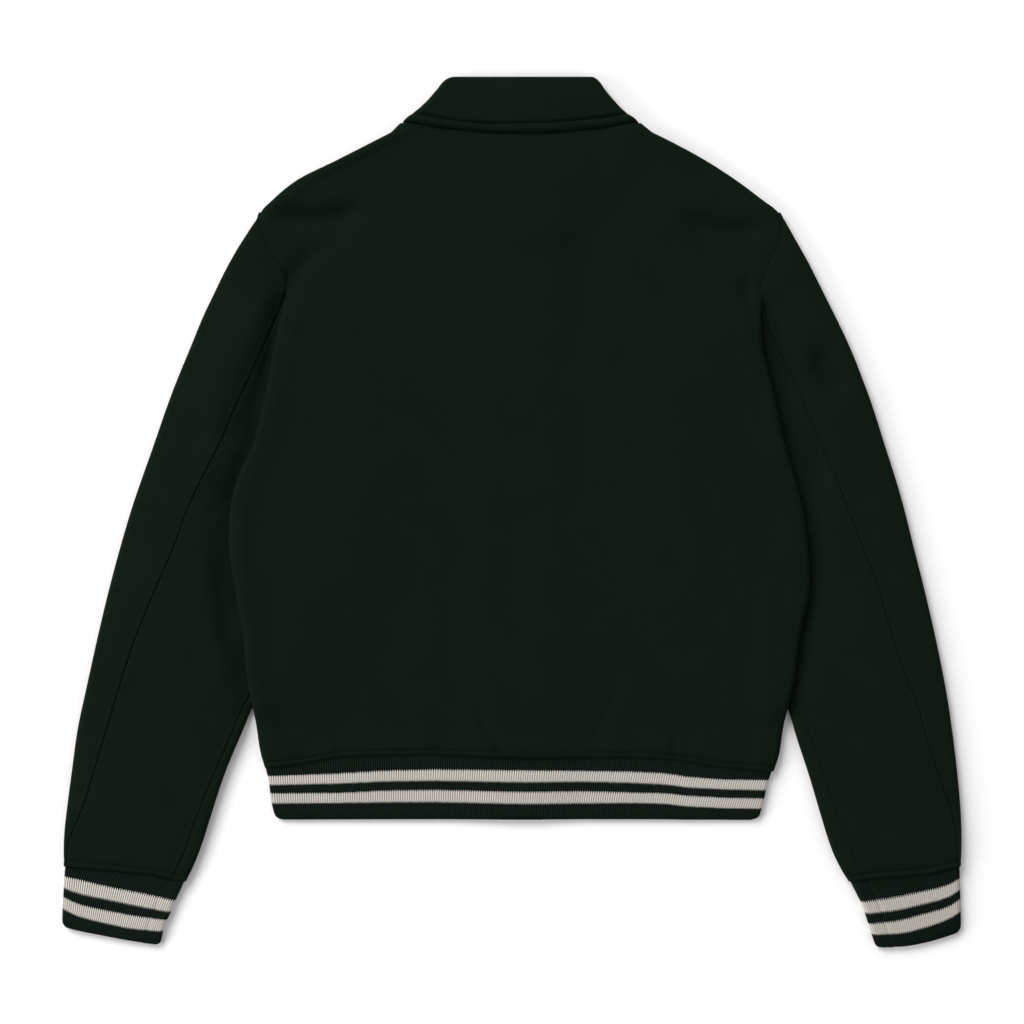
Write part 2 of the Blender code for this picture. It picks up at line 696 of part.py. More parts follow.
def clear_scene():
    for item in list(bpy.data.objects):
        bpy.data.objects.remove(item, do_unlink=True)


def build():
    clear_scene()
    melton = make_material("melton", COLOURS["melton"], 0.9, 0.0)
    rib = make_material("rib", COLOURS["rib"], 0.9, 0.0)
    snap = make_material("snap", COLOURS["snap"], 0.35, 1.0)
    make_back(melton)
    make_front("front_left", -1, melton)
    make_front("front_right", 1, melton)
    for word, side in (("left", -1), ("right", 1)):
        make_top_sleeve("sleeve_top_" + word, side, melton)
        make_under_sleeve("sleeve_under_" + word, side, melton)
    make_cuff("cuff_left", -1, CUFF_ROWS_LEFT, rib)
    make_cuff("cuff_right", 1, CUFF_ROWS_RIGHT, rib)
    make_hem(rib)
    collar_ring("collar_leaf", LEAF_ROWS, LEAF_DIP, FRONT_DIP, ROLL_DIP, LEAF_GAP, melton)
    collar_ring("collar_stand", STAND_ROWS, 0.0, NECK_DIP, ROLL_DIP - 1.0, STAND_GAP, melton)
    for number, y in enumerate(SNAP_ROWS + (HEM_SNAP_ROW,), start=1):
        make_snap("snap_%d" % number, y, snap)


build()
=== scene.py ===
"""Looks of a varsity jacket laid flat on its front, back upwards.

Each CAD wall is replaced by a finer shell on nearly the same form: section tables close to the
CAD's, drawn through smooth curves, with folds, ribs and seams added, and stitches on top. Sizes are
in millimetres from the CAD origin and become metres where a mesh is made.
"""
import math

import bpy
import numpy as np
from mathutils import Matrix, Vector
from mathutils.bvhtree import BVHTree


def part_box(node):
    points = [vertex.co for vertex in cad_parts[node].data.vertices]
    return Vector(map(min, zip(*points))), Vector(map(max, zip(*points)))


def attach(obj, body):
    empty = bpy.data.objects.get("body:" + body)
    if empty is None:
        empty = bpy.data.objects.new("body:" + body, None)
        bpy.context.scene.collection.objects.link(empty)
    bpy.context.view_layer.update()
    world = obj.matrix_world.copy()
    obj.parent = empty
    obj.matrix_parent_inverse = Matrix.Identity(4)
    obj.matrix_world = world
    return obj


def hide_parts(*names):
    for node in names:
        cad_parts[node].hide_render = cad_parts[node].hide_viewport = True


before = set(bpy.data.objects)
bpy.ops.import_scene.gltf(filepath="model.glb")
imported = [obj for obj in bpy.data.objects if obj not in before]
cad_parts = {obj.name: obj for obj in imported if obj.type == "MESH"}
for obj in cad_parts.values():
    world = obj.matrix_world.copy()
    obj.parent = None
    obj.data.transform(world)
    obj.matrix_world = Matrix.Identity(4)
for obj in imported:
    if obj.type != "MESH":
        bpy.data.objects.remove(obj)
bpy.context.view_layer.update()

MM = 0.001
SHELL = 1.5            # thickness of the fine shells
SEAM = 0.3             # clearance where two pieces are sewn together
SOFT_EDGE = 7.0        # how far in from a folded edge the cloth is rounded
STITCH_PITCH = 3.4
RIB_PITCH = 2.1
RIB_DEPTH = 0.55
RIB_POINTS = 4         # points on each rib, across it
BAND_UV = 100.0        # texture length over a knit band's depth, so that v gives the share of it
THINNEST = 3.2         # two layers of cloth pressed together
STITCH_LENGTH = 2.5
HEM_STITCH = 5.2       # from the hem's seam, and from a cuff's, up to the topstitching
SEAM_STITCH = 4.8      # from a sleeve seam to its topstitching
LEAF_STITCH = 7.9      # from the collar's free edge to its topstitching
BODY_END = -226.0      # nominal y of the body's lowest row of points
SLEEVE_FOOT = -323.0   # nominal y of a sleeve's lowest row of points

CENTRE = 6.0           # centre front
LAP_HALF = 16.0
NECK_CENTRE = 8.0
PRESSED = 5.0          # height of a sleeve beside and under the body
BODY_TOP = 8.6
SLEEVE_TOP = 9.6
SLEEVE_CROWN = 2.6
LIFT = 6.2             # the body's sides ride this high on the sleeves
COLLAR_LIFT = 3.2
LEAF_DIP = 9.5         # how far the leaf's edge bows down at the back's centre
FRONT_DIP = 86.0       # and at the front's centre
LAP_LOFT = 2.4
HEM_TOP = 6.4
CUFF_TOP = 7.2

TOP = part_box("back")[1][1] / MM    # the back's upper edge, at the neck seam

COVERED_TO = -180.0    # y down to which the body's side lies on the sleeves

SIDES = {"left": -1, "right": 1}

# Body: side edges, where the lower layer has stepped up onto the sleeves, folded (1) or sewn flat
# (0), lifted onto the sleeves (1) or not (0).
LEFT, RIGHT, LEFT_STEP, RIGHT_STEP, FOLDED, LIFTED = range(1, 7)
BODY = (
    # y,      left,   right,  left_step, right_step, fold, lift
    (349.85, -101.0, 116.5,  -92, 108, 1, 0),
    ( 343.0, -107.0, 124.0,  -98, 115, 1, 0),
    ( 335.0, -122.0, 140.0, -112, 130, 1, 0),
    ( 317.0, -158.0, 174.0, -142, 158, 1, 0),
    ( 299.0, -194.0, 202.0, -166, 176, 1, 0),
    ( 281.0, -216.0, 226.0, -182, 194, 1, 0),
    ( 270.0, -226.5, 240.0, -190, 206, 1, 0),
    ( 263.0, -228.3, 243.3, -192, 210, 0, 0),
    ( 245.0, -223.0, 241.5, -194, 213, 0, 0),
    ( 230.0, -214.0, 234.3, -194, 214, 0, 0),
    ( 216.0, -206.0, 228.0, -194, 215, 0, 0),
    ( 200.0, -203.0, 225.0, -194, 216, 0, 0),
    ( 175.0, -208.0, 224.0, -200, 216, 1, 1),
    ( 150.0, -214.0, 225.0, -174, 189, 1, 1),
    ( 125.0, -218.0, 231.0, -156, 172, 1, 1),
    (  95.0, -224.4, 238.0, -148, 160, 1, 1),
    (  60.0, -233.0, 246.0, -146, 156, 1, 1),
    (  29.0, -247.0, 255.0, -150, 159, 1, 1),
    (   1.0, -253.5, 262.0, -157, 166, 1, 1),
    ( -28.0, -254.5, 266.0, -167, 176, 1, 1),
    ( -61.0, -250.0, 268.0, -178, 187, 1, 1),
    (-117.0, -241.0, 258.0, -199, 209, 1, 1),
    (-149.0, -238.0, 254.0, -215, 226, 1, 1),
    (-174.0, -233.0, 248.0, -226, 241, 1, 1),
    (-192.0, -230.0, 244.0, -218, 232, 1, 0),
    (-208.0, -227.5, 241.5, -212, 226, 1, 0),
    (-230.0, -221.5, 234.5, -206, 220, 1, 0),
)

# Sleeves: y, outer edge, back seam (the armhole above y 200), inner seam, inner edge.
OUTER, BACK_SEAM, INNER_SEAM, INNER = range(1, 5)
SLEEVES = {"left": (
    ( 269.6, -227.3, -227.1, -227.0, -227.0),
    ( 266.5, -228.6, -228.0, -227.5, -227.5),
    ( 264.0, -230.0, -228.6, -228.0, -228.0),
    ( 245.0, -243.0, -223.3, -222.7, -222.7),
    ( 230.0, -251.5, -214.3, -213.7, -213.7),
    ( 216.0, -259.5, -206.3, -205.7, -205.7),
    ( 200.0, -267.0, -203.3, -202.7, -202.7),
    ( 175.0, -279.0, -213.0, -204.8, -202.0),
    ( 150.0, -289.0, -223.0, -182.0, -176.0),
    ( 125.0, -299.5, -234.5, -166.0, -158.0),
    (  95.0, -311.0, -248.0, -158.0, -150.0),
    (  60.0, -323.0, -263.0, -156.0, -148.0),
    (  29.0, -334.0, -279.0, -160.0, -152.0),
    (   1.0, -343.5, -292.0, -167.0, -159.0),
    ( -28.0, -352.0, -302.0, -177.0, -169.0),
    ( -61.0, -361.0, -316.5, -188.0, -180.0),
    (-117.0, -374.5, -339.5, -209.0, -201.0),
    (-149.0, -381.5, -350.0, -225.0, -217.0),
    (-174.0, -387.0, -357.5, -242.0, -233.6),
    (-192.0, -391.0, -363.0, -248.5, -240.5),
    (-232.0, -396.5, -375.0, -266.0, -257.5),
    (-277.0, -402.0, -389.0, -286.0, -274.0),
    (-300.0, -404.0, -399.6, -295.0, -282.5),
    (-323.0, -403.6, -401.0, -306.0, -294.0),
), "right": (
    ( 269.6, 240.9, 240.7, 240.6, 240.6),
    ( 266.5, 243.4, 242.4, 241.9, 241.9),
    ( 264.0, 245.4, 243.3, 242.7, 242.7),
    ( 245.0, 255.5, 242.3, 241.7, 241.7),
    ( 230.0, 264.5, 234.6, 234.0, 234.0),
    ( 216.0, 271.5, 228.3, 227.7, 227.7),
    ( 200.0, 279.5, 225.3, 224.7, 224.7),
    ( 175.0, 292.0, 229.2, 220.8, 218.0),
    ( 150.0, 304.0, 238.0, 198.0, 191.0),
    ( 125.0, 314.0, 252.0, 182.0, 174.0),
    (  95.0, 325.0, 265.0, 170.0, 162.0),
    (  60.0, 336.0, 279.5, 166.0, 158.0),
    (  29.0, 346.0, 292.5, 169.0, 161.0),
    (   1.0, 354.0, 303.5, 176.0, 168.0),
    ( -28.0, 361.0, 314.5, 186.0, 178.0),
    ( -61.0, 369.5, 327.5, 197.0, 189.0),
    (-117.0, 382.5, 344.5, 219.0, 211.0),
    (-149.0, 389.0, 355.0, 236.0, 228.0),
    (-174.0, 393.5, 365.5, 256.5, 248.6),
    (-192.0, 396.0, 370.0, 265.0, 253.0),
    (-232.0, 401.0, 383.0, 280.0, 266.0),
    (-277.0, 404.6, 398.0, 297.0, 281.0),
    (-300.0, 405.2, 401.0, 307.5, 289.5),
    (-323.0, 404.2, 401.4, 318.0, 303.5),
)}
# The sleeve's end, where the cuff is sewn on: x, y.
SLEEVE_END = {
    "left": ((-404, -319), (-358, -323), (-320, -327), (-294, -333)),
    "right": ((303.5, -333), (328, -329.5), (373, -326), (404, -319)),
}
# Knit bands run through six levels: the sewn edge, the two edges of each stripe, and the free edge.
LEVELS = (0.0, 0.20, 0.40, 0.53, 0.74, 1.0)
STRIPES = ((0.204, 0.393), (0.537, 0.734))
# Cuffs, one row a level: outer x, inner x, and y at five shares of the way from outer to inner.
CUFF_SHARES = (0.0, 0.14, 0.42, 0.70, 1.0)
CUFFS = {"left": (
    (-402.6, -295.8, -319.6, -321.4, -323.0, -327.4, -333.6),
    (-403.4, -303.6, -327.9, -331.2, -338.0, -343.6, -350.3),
    (-404.0, -307.6, -338.3, -343.6, -349.4, -355.2, -360.6),
    (-404.4, -311.0, -346.0, -352.6, -358.8, -363.8, -367.5),
    (-405.0, -314.8, -356.8, -363.4, -370.2, -375.4, -377.9),
    (-405.6, -317.4, -373.4, -376.8, -381.8, -386.4, -390.4),
), "right": (
    (403.4, 305.4, -319.6, -324.0, -326.9, -329.4, -333.6),
    (403.5, 314.6, -329.6, -336.1, -342.4, -347.6, -351.6),
    (403.8, 318.4, -340.0, -346.9, -353.6, -359.0, -361.9),
    (404.2, 321.2, -347.7, -355.1, -362.0, -368.0, -371.0),
    (404.4, 324.4, -359.4, -366.2, -374.4, -379.6, -380.8),
    (404.8, 328.2, -378.0, -381.8, -388.0, -391.6, -392.4),
)}
# Hem band: x, then y at each level.
HEM_LEVELS = (
    (-222, -231.0, -238.0, -246.0, -253.4, -262.6, -277.0),
    (-189, -227.5, -237.0, -245.4, -253.3, -262.4, -277.0),
    (-155, -221.0, -235.8, -244.6, -253.0, -262.1, -277.0),
    (-119, -219.6, -233.5, -243.0, -251.2, -261.7, -277.0),
    ( -74, -219.2, -232.3, -242.2, -250.4, -261.4, -277.0),
    (   7, -221.6, -232.8, -243.4, -252.0, -262.9, -277.2),
    (  67, -221.8, -233.5, -243.0, -251.6, -262.6, -277.0),
    ( 112, -221.6, -234.3, -244.3, -252.9, -262.2, -277.0),
    ( 137, -223.2, -235.6, -245.6, -253.4, -263.0, -277.0),
    ( 157, -225.4, -238.6, -248.1, -255.5, -265.2, -277.2),
    ( 186, -230.2, -241.0, -249.6, -257.1, -266.7, -277.0),
    ( 230, -234.0, -241.6, -250.8, -258.2, -267.6, -277.0),
)
HEM_LINE = tuple(row[:2] for row in HEM_LEVELS)
HEM_EDGES = (
    # share of the depth, left, right
    (0.0, -222.0, 234.0),
    (0.3, -219.4, 230.0),
    (0.7, -217.0, 225.6),
    (1.0, -213.0, 222.0),
)
LEAF = (
    # y,     left,   right,  low,  top
    (351.0, -99.5, 115.0, 0.0, 14.2),
    (360.0, -88.5, 103.0, 0.0, 14.4),
    (370.0, -77.5,  93.0, 0.0, 14.2),
    (380.0, -68.0,  84.0, 0.0, 13.6),
    (388.0, -61.5,  78.5, 0.4, 12.2),
    (390.6, -57.5,  75.4, 1.4, 10.6),
    (391.6, -55.0,  73.8, 2.8,  8.8),
    (392.0, -53.5,  72.6, 4.6,  6.8),
)
STAND = (
    (350.15, -95.6, 111.6, 3.2, 10.4),
    ( 360.0, -84.5,  99.0, 3.2, 10.2),
    ( 370.0, -73.5,  89.0, 3.2,  9.9),
    ( 380.0, -64.0,  80.0, 3.2,  9.6),
    ( 385.0, -60.5,  77.0, 3.2,  9.4),
)

# Creases of the back: start, end, width across and height; a trough is negative.
BACK_CREASES = (
    # x0,    y0,    x1,    y1,   width, height
    (-214,  267, -138,  271,  8, -7.0),
    (-140,  268, -160,  240,  9, -2.6),
    (-212,  281, -120,  296, 10,  1.6),
    ( 152,  263,  230,  254,  8, -6.8),
    ( 140,  292,  222,  272, 10,  1.6),
    (-174,  238, -204,  200,  8, -5.2),
    (-156,  250, -176,  232, 10, -1.8),
    (-188,  190, -160,  120, 16,  1.2),
    ( 211,  214,  220,  170,  7, -4.0),
    ( 170,   80,  208, -100,  7, -1.5),
    ( 222,  128,  232,   60,  5, -1.6),
    ( 150,   60,  180,  -60, 14,  0.9),
    (-150,  -60, -143, -150,  6, -0.9),
    ( -52,  -92,  -48, -172,  6, -0.9),
    (  30,   90,   18, -120, 30, -0.8),
    ( -40,  180,  -70,  -60, 36,  0.8),
    (  92,  170,  110,  -40, 34,  0.8),
    ( -30, -180,   -8, -216,  4, -2.6),
    ( -14, -196,   -7, -218,  3, -2.0),
    ( -20, -178,    0, -214,  7,  1.5),
    (  96, -160,   74, -212,  5, -1.8),
    (-156, -196, -155, -220,  4, -1.6),
    ( 147, -196,  148, -224,  4, -2.4),
    ( 158, -202,  160, -226,  3, -1.8),
    ( 196, -190,  150, -204,  8, -1.6),
    (-196, -206, -168, -212,  8, -1.4),
    (-216,  -60, -205, -205,  9, -0.9),
    ( 226,  -60,  214, -205,  9, -0.9),
    (-240,   20, -222, -190,  9,  1.6),
    ( 250,  -10,  230, -200,  9,  1.6),
    (  60,  240,  -60,  232, 30, -0.7),
    ( -90,  -20,  120,  -26, 40, -0.6),
)
SLEEVE_CREASES = {"left": (
    (-198,  212, -210,  130, 13, -3.4),
    (-205,  150, -230,   60, 14, -3.4),
    (-228,   70, -247,  -20, 12, -2.6),
    (-238,  170, -270,   60, 14,  2.4),
    (-262,  -40, -250, -130,  8, -2.4),
    (-296,   74, -246,   70, 13, -2.2),
    (-286,   20, -262,   -4, 14, -1.8),
    (-302,  104, -262,  110, 12,  1.2),
    (-350, -166, -326, -150, 11, -2.0),
    (-352, -190, -316, -214, 14,  1.3),
    (-318,  -60, -300,  -92, 14, -1.1),
    (-380, -296, -306, -276, 12, -1.6),
    (-372, -262, -300, -244, 14,  1.2),
    (-250, -178, -300, -130, 12, -1.6),
    (-246, -150, -290, -100, 12,  1.0),
    (-270,  210, -235,  180, 12, -1.4),
    (-262, -110, -240,  -60, 12, -1.4),
    (-318, -232, -288, -268,  8, -1.0),
), "right": (
    (232,  186, 252,  100,  9, -2.2),
    (244,  130, 262,   40,  8, -2.4),
    (274,  148, 300,  104, 15, -5.6),
    (258, -168, 316, -207,  8, -2.0),
    (262, -150, 322, -186, 12,  1.5),
    (272,  140, 304,  110, 13, -2.3),
    (300,  150, 330,   98, 12,  1.2),
    (318, -276, 342, -292,  8, -1.6),
    (300, -232, 360, -250, 14,  1.0),
    (268,  -20, 300,  -70, 16, -1.2),
    (276,   50, 262,   -8, 12, -1.2),
    (332,  -40, 352,  -96, 12, -1.0),
    (352, -250, 392, -286, 10, -1.0),
    (248,  214, 268,  176, 12, -1.2),
)}


# -------- curves

def smooth(value):
    value = np.clip(value, 0.0, 1.0)
    return value * value * (3.0 - 2.0 * value)


def mix(start, end, share):
    return start + (end - start) * share


def ridge(value, centre, width):
    """A rounded ridge of height 1 at centre."""
    return np.exp(-((value - centre) / width) ** 2)


def curve(table, column, at):
    """A table's column read at the first column's value, through a curve with no overshoot."""
    rows = sorted(table, key=lambda row: row[0])
    x = np.array([row[0] for row in rows], float)
    v = np.array([row[column] for row in rows], float)
    at = np.clip(np.asarray(at, float), x[0], x[-1])
    step = np.diff(x)
    slope = np.diff(v) / step
    tangent = np.zeros(len(x))
    tangent[0], tangent[-1] = slope[0], slope[-1]
    for i in range(1, len(x) - 1):
        if slope[i - 1] * slope[i] > 0:
            before, after = 2 * step[i] + step[i - 1], step[i] + 2 * step[i - 1]
            tangent[i] = (before + after) / (before / slope[i - 1] + after / slope[i])
    i = np.clip(np.searchsorted(x, at) - 1, 0, len(x) - 2)
    t = (at - x[i]) / step[i]
    return ((2 * t**3 - 3 * t**2 + 1) * v[i] + (t**3 - 2 * t**2 + t) * step[i] * tangent[i]
            + (3 * t**2 - 2 * t**3) * v[i + 1] + (t**3 - t**2) * step[i] * tangent[i + 1])


def on_line(line, x):
    """A line of straight runs, given as (x, y) points, read at x."""
    return np.interp(x, *zip(*line))


def outline(table, column, at):
    """A sleeve edge read through a curve that is averaged over a short length."""
    at = np.asarray(at, float)
    top, bottom = table[0][0], table[-1][0]
    reach = np.clip(np.minimum(top - at, at - bottom), 0.0, 14.0)
    total = sum(weight * curve(table, column, at + reach * step)
                for step, weight in ((-1, 1), (-0.5, 2), (0, 2), (0.5, 2), (1, 1)))
    return total / 8.0


def creases(table, x, y):
    """Height of all creases of a table at x, y."""
    total = np.zeros(np.broadcast(x, y).shape)
    for x0, y0, x1, y1, width, height in table:
        dx, dy = x1 - x0, y1 - y0
        along = ((x - x0) * dx + (y - y0) * dy) / (dx * dx + dy * dy)
        bow = 0.06 * math.hypot(dx, dy) * np.sin(math.pi * np.clip(along, 0, 1))
        across = ((x - x0) * dy - (y - y0) * dx) / math.hypot(dx, dy) - bow
        ends = smooth((along + 0.12) / 0.4) * smooth((1.12 - along) / 0.4)
        total += height * ends * ridge(across, 0.0, width)
    return total


def graded(length, near, far, reach):
    """Distances from 0 to length whose spacing grows from near to far over reach."""
    places = [0.0]
    while places[-1] < length:
        places.append(places[-1] + mix(near, far, min(1.0, places[-1] / reach)))
    places = np.array(places)
    return places * length / places[-1]


# -------- meshes

def link_object(name, data):
    item = bpy.data.objects.new(name, data)
    bpy.context.scene.collection.objects.link(item)
    return item


def make_object(name, points, faces, uv, material):
    mesh = bpy.data.meshes.new(name)
    mesh.from_pydata((points * MM).tolist(), [], faces.tolist())
    loops = np.empty(len(mesh.loops), dtype=np.int64)
    mesh.loops.foreach_get("vertex_index", loops)
    layer = mesh.uv_layers.new(name="cloth")
    layer.uv.foreach_set("vector", (uv[loops] * MM).astype(np.float32).ravel())
    mesh.materials.append(material)
    mesh.shade_smooth()
    mesh.set_sharp_from_angle(angle=math.radians(50))
    mesh.validate()
    piece = link_object(name, mesh)
    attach(piece, "root")
    return piece


def shell(name, outer, uv, material, up_column, lowest=0.0):
    """A closed thin wall inside a grid of outer points; the normal at up_column points up."""
    across = np.gradient(outer, axis=1)
    along = np.gradient(outer, axis=0)
    normal = np.cross(across, along)
    length = np.linalg.norm(normal, axis=2, keepdims=True)
    normal = normal / np.maximum(length, 1e-9)
    if normal[:, up_column, 2].mean() < 0:
        normal = -normal
    inner = outer - normal * SHELL
    inner[:, :, 2] = np.maximum(inner[:, :, 2], lowest)
    rows, columns = outer.shape[:2]
    points = np.concatenate([outer.reshape(-1, 3), inner.reshape(-1, 3)])
    index = np.arange(rows * columns).reshape(rows, columns)
    under = index + rows * columns
    quads = [np.stack([index[:-1, :-1], index[1:, :-1], index[1:, 1:], index[:-1, 1:]], -1),
             np.stack([under[:-1, :-1], under[:-1, 1:], under[1:, 1:], under[1:, :-1]], -1)]
    quads = [q.reshape(-1, 4) for q in quads]
    for a, b in ((index[:, 0], under[:, 0]), (under[:, -1], index[:, -1]),
                 (under[0, :], index[0, :]), (index[-1, :], under[-1, :])):
        quads.append(np.stack([a[:-1], b[:-1], b[1:], a[1:]], -1))
    faces = np.concatenate(quads)
    triangle = points[faces]
    first = np.einsum("ij,ij->i", triangle[:, 0], np.cross(triangle[:, 1], triangle[:, 2]))
    second = np.einsum("ij,ij->i", triangle[:, 0], np.cross(triangle[:, 2], triangle[:, 3]))
    if (first + second).sum() < 0:
        faces = faces[:, ::-1]
    places = np.concatenate([uv.reshape(-1, 2)] * 2)
    return make_object(name, points, faces, places, material)


def turn(edge, side, low, top, reach, count, start=0.0, stop=math.pi):
    """Round a folded edge: angle 0 is its upper side, 180 degrees its lower side."""
    angle = np.linspace(start, stop, count)
    x = edge - side * reach + side * reach * np.sin(angle)
    return x, (low + top) / 2 + (top - low) / 2 * np.cos(angle)


# -------- heights

def neck_bow(x, half=100.0):
    """A curve across the neck: 1 at its centre, 0 from half outwards."""
    return np.maximum(0.0, 1.0 - ((x - NECK_CENTRE) / half) ** 2)


def leaf_edge(x):
    """y of the leaf's free edge across the back."""
    return LEAF[0][0] - LEAF_DIP * neck_bow(x)


def neck_lift(x, y):
    """How far the collar's front ends raise the cloth on top of them."""
    front_edge = LEAF[0][0] - FRONT_DIP * neck_bow(x, 108.0)
    return COLLAR_LIFT * smooth((y - (front_edge - 36.0)) / 30.0)


def on_sleeve(x, y, fade=16.0):
    """Share of the lift onto the sleeves at x, y."""
    lift = curve(BODY, LIFTED, y)
    left = smooth((curve(BODY, LEFT_STEP, y) + fade - x) / fade)
    right = smooth((x - curve(BODY, RIGHT_STEP, y) + fade) / fade)
    return lift * np.maximum(left, right)


def lap(x, y):
    """Share of the back's swell over the lapped fronts at x, y."""
    return smooth((62.0 - np.abs(x - CENTRE)) / 40.0) * smooth((314.0 - y) / 24.0)


def gathers(x, y):
    """Small puckers that the rib draws up in the body above the hem."""
    random = np.random.default_rng(11)
    above = y - on_line(HEM_LINE, x)
    total = np.zeros(np.shape(x))
    place = -214.0
    while place < 226.0:
        width = random.uniform(3.0, 6.5)
        tall = random.uniform(10.0, 34.0)
        height = random.uniform(0.25, 0.95) * random.choice((-1.0, 1.0))
        lean = random.uniform(-0.25, 0.25)
        across = (x - place - lean * above) / width
        total += height * np.exp(-across**2) * smooth((above - 4.0) / 4.0) * smooth((tall - above) / tall)
        place += random.uniform(7.0, 19.0)
    return total


def back_height(x, y):
    """The back's upper surface."""
    to_edge = np.minimum(x - curve(BODY, LEFT, y), curve(BODY, RIGHT, y) - x)
    height = BODY_TOP + LAP_LOFT * lap(x, y) + neck_lift(x, y + 8.0) + 5.4 * on_sleeve(x, y, 96.0)
    height += 1.7 * curve(BODY, FOLDED, y) * ridge(to_edge, 12.0, 9.0)
    height += creases(BACK_CREASES, x, y) * smooth(to_edge / 8.0) + gathers(x, y)
    above = y - on_line(HEM_LINE, x)
    blouse = np.interp(x, (-222, -160, -100, -30, 20, 70, 110, 160, 236),
                       (0.6, 1.2, 1.8, 1.4, 2.6, 1.4, 1.0, 1.6, 0.5))
    height += blouse * ridge(above, 10.0, 9.0)
    groove = np.interp(x, (-40, -8, 0, 60, 72), (1, 1, 0.25, 0.25, 1))
    height -= 1.7 * groove * ridge(above, HEM_STITCH, 1.2)
    height -= 2.4 * (1.0 - smooth(above / 2.2))
    height -= 3.0 * smooth((y - leaf_edge(x) + 3.4) / 3.4)
    return height


def body_low(x, y):
    """The underside of the body, which the fronts follow."""
    raised = 1.8 * smooth((32.0 - np.abs(x - CENTRE)) / 10.0) * smooth((282.0 - y) / 24.0)
    return LIFT * on_sleeve(x, y, 14.0) + raised + neck_lift(x, y)


def lap_raise(x):
    """The right front's rise onto the left one, at and beyond the lap's edge."""
    return 2.9 * smooth((34.0 - (x - CENTRE)) / 11.0)


def hem_y(x, nominal):
    """Rows run level at the top of the body and follow the hem's seam at the bottom."""
    hem = on_line(HEM_LINE, x) + SEAM / 2
    return nominal + (hem - BODY_END) * smooth((-140.0 - nominal) / 86.0)


# -------- body

def body_rows():
    return BODY_END + graded(TOP - BODY_END, 0.75, 4.2, 34.0)[::-1]


def body_edge(side, y):
    return curve(BODY, LEFT if side < 0 else RIGHT, y)


def body_side(side, nominal, upper):
    """Half of a side edge, from top to bottom: round where it is folded, flat where it is sewn."""
    edge = float(body_edge(side, nominal))
    inward = edge - side * SOFT_EDGE
    fold = float(curve(BODY, FOLDED, nominal))
    y = hem_y(edge, nominal)
    low = float(body_low(np.array(edge), y))
    top = float(back_height(np.array(inward), y))
    if upper:
        x, z = turn(edge, side, low, top, SOFT_EDGE, 9, stop=math.pi / 2)
        flat = np.linspace(inward, edge, 9)
        flat_z = top - 0.5 * ridge(flat, edge, 1.0)
    else:
        x, z = turn(edge, side, low, top, SOFT_EDGE, 7, start=math.pi / 2)
        flat = np.linspace(edge, inward, 7)
        flat_z = low + 1.3 * ridge(flat, edge, 1.3)
    x, z = mix(flat, x, fold), mix(flat_z, z, fold)
    if upper:
        z[-1] += SEAM / 2
    else:
        z[0] -= SEAM / 2
    return x, z


def make_back(material):
    rows = []
    for nominal in body_rows():
        left, right = (float(body_edge(side, nominal)) for side in (-1, 1))
        left_x, left_z = body_side(-1, nominal, True)
        right_x, right_z = body_side(1, nominal, True)
        middle = np.linspace(left + SOFT_EDGE, right - SOFT_EDGE, 138)[1:-1]
        x = np.concatenate([left_x[::-1], middle, right_x])
        y = hem_y(x, nominal)
        z = np.concatenate([left_z[::-1], back_height(middle, hem_y(middle, nominal)), right_z])
        rows.append(np.stack([x, y, z], -1))
    outer = np.array(rows)
    return shell("back_cloth", outer, outer[:, :, :2].copy(), material, 70)


def make_front(name, side, material):
    rows = []
    for nominal in body_rows()[::2].tolist() + [BODY_END]:
        edge = float(body_edge(side, nominal))
        x, z = body_side(side, nominal, False)
        far = np.linspace(edge - side * SOFT_EDGE, CENTRE - side * LAP_HALF, 66)[1:]
        share = max(0.0, (nominal - 264.0) / (TOP - 264.0))
        x = np.concatenate([x, far])
        y = hem_y(x, nominal) - (62.0 * neck_bow(x) + 1.2 * (np.abs(x - CENTRE) < LAP_HALF)) * share
        far_z = body_low(far, y[len(z):])
        if side > 0:
            far_z = far_z + lap_raise(far)
        rows.append(np.stack([x, y, np.concatenate([z, far_z])], -1))
    outer = np.array(rows)
    return shell_below(name, outer, outer[:, :, :2].copy(), material)


def shell_below(name, outer, uv, material):
    """A shell whose visible side faces the floor."""
    mirrored = outer * np.array([1.0, 1.0, -1.0])
    piece = shell(name, mirrored, uv, material, 40, -math.inf)
    piece.data.transform(Matrix.Diagonal((1.0, 1.0, -1.0, 1.0)))
    piece.data.flip_normals()
    return piece


# -------- sleeves

# Puckers above a cuff: share of the sleeve's width, lean, height.
CUFF_PUCKERS = ((0.2, 0.1, 0.6), (0.42, -0.1, -0.7), (0.6, 0.15, 0.6), (0.8, 0.0, -0.6))


